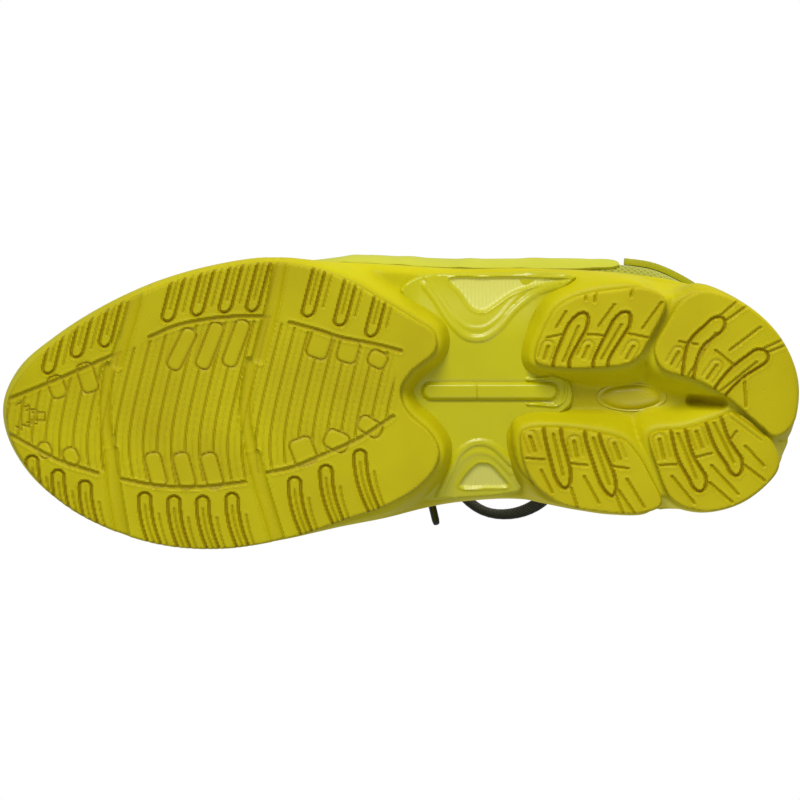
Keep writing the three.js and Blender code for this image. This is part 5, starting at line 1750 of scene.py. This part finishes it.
def thread(name, colour):
    """Bonded nylon thread: a little shine on a rounded, twisted yarn."""
    mat, tree, shader = finish(name, colour, 0.5, Sheen_Weight=0.2)
    twist = node(tree, "ShaderNodeTexWave", {"Vector": object_coords(tree), "Scale": 900.0},
                 bands_direction="DIAGONAL")
    bumped(tree, shader, twist.outputs["Fac"], 0.3, 0.0001)
    tree.links.new(toned(tree, colour, colour, twist.outputs["Fac"]), shader.inputs["Base Color"])
    return mat


def stitched(name, runs, material, long=2.4, gap=1.1, thick=0.34, zigzag=0.0):
    """Rows of stitches: runs are lists of (station, height, depth) that the thread follows."""
    bm = bmesh.new()
    for run in runs:
        run = np.array(run, float)
        ts = np.linspace(0, len(run) - 1, 40 * len(run))
        w, h, d = (np.interp(ts, np.arange(len(run)), run[:, k]) for k in range(3))
        line = skin(w, h, d)
        normal = facing(w, h)
        gone = np.concatenate([[0], np.cumsum(np.linalg.norm(np.diff(line, axis=0), axis=1))])
        count = int(gone[-1] / (long + gap))
        for k in range(count):
            start, end = k * (long + gap), k * (long + gap) + long
            a, b = (np.array([np.interp(g, gone, line[:, q]) for q in range(3)]) for g in (start, end))
            n = np.array([np.interp(start, gone, normal[:, q]) for q in range(3)])
            if zigzag:
                sway = unit(np.cross(b - a, n)) * zigzag
                a, b = (a + sway, b - sway) if k % 2 else (a - sway, b + sway)
            turned = Vector(b - a).to_track_quat("X", "Z").to_matrix().to_4x4()
            size = Matrix.Diagonal((np.linalg.norm(b - a) / 2, thick, thick, 1))
            place = Matrix.Translation(Vector((a + b) / 2)) @ turned @ size
            bmesh.ops.create_icosphere(bm, subdivisions=1, radius=1, matrix=place)
    obj = piece(name, bm, "shoe", sharp=180)
    obj.data.materials.append(material)


CITRON_THREAD = thread("nylon_thread_citron", "a8a61c")
ORANGE_THREAD = thread("nylon_thread_orange", "d88f1e")


def sides_of(run):
    return [run, [(opposite(w), h, d) for w, h, d in run]]


TOP = GAP + OVERLAY + 0.05
stitched("eyestay_stitches", sides_of([(w, 0.645 + 0.02 * math.sin(w * 6), TOP) for w in np.linspace(6.25,
                                                                                                     9.6,
                                                                                                     12)])
         + sides_of([(w, 0.985, TOP) for w in np.linspace(6.2, 9.8, 12)]), CITRON_THREAD)
stitched("vamp_seam_stitches", sides_of([(10.12, h, 0.1) for h in np.linspace(0.44, 0.97, 8)])
         + sides_of([(10.32, h, 0.1) for h in np.linspace(0.44, 0.97, 8)]), CITRON_THREAD)
stitched("band_stitches", sides_of([(w, 0.45 + 0.035 * math.sin(w * 2.4), 0.15) for w in np.linspace(3.7,
                                                                                                     9.8,
                                                                                                     22)]),
         ORANGE_THREAD, long=2.0, gap=0.5, thick=0.42, zigzag=0.7)
stitched("lower_stitches", sides_of([(w, 0.128, 0.2) for w in np.linspace(3.6, 9.9, 22)]), ORANGE_THREAD,
         long=1.7, gap=0.3, thick=0.45, zigzag=0.9)
stitched("collar_stitches", [[(w, 0.955, 0.12) for w in np.linspace(-5.6, 5.6, 30)]], CITRON_THREAD)

# ---- Pieces kept as the part has them -----------------------------------------------------------

STIFF = plain_plastic("heel_counter_sheet", "d9d4c4", "cbc5b3", 0.7)
LINER = quilted("sockliner_cloth_black", "24252a", "101114")


def redressed(name, material):
    """Gives a kept node of the part its finished material."""
    obj = bpy.data.objects[frame["nodes"][name].name if hasattr(frame["nodes"][name], "name") else name]
    obj.data.materials.clear()
    obj.data.materials.append(material)


for name, material in (("lasting_board", STIFF), ("heel_stiffener", STIFF), ("toe_puff", STIFF),
                       ("sockliner", LINER), ("heel_cushion_insert", GEL), ("forefoot_cushion_insert", GEL)):
    redressed(name, material)
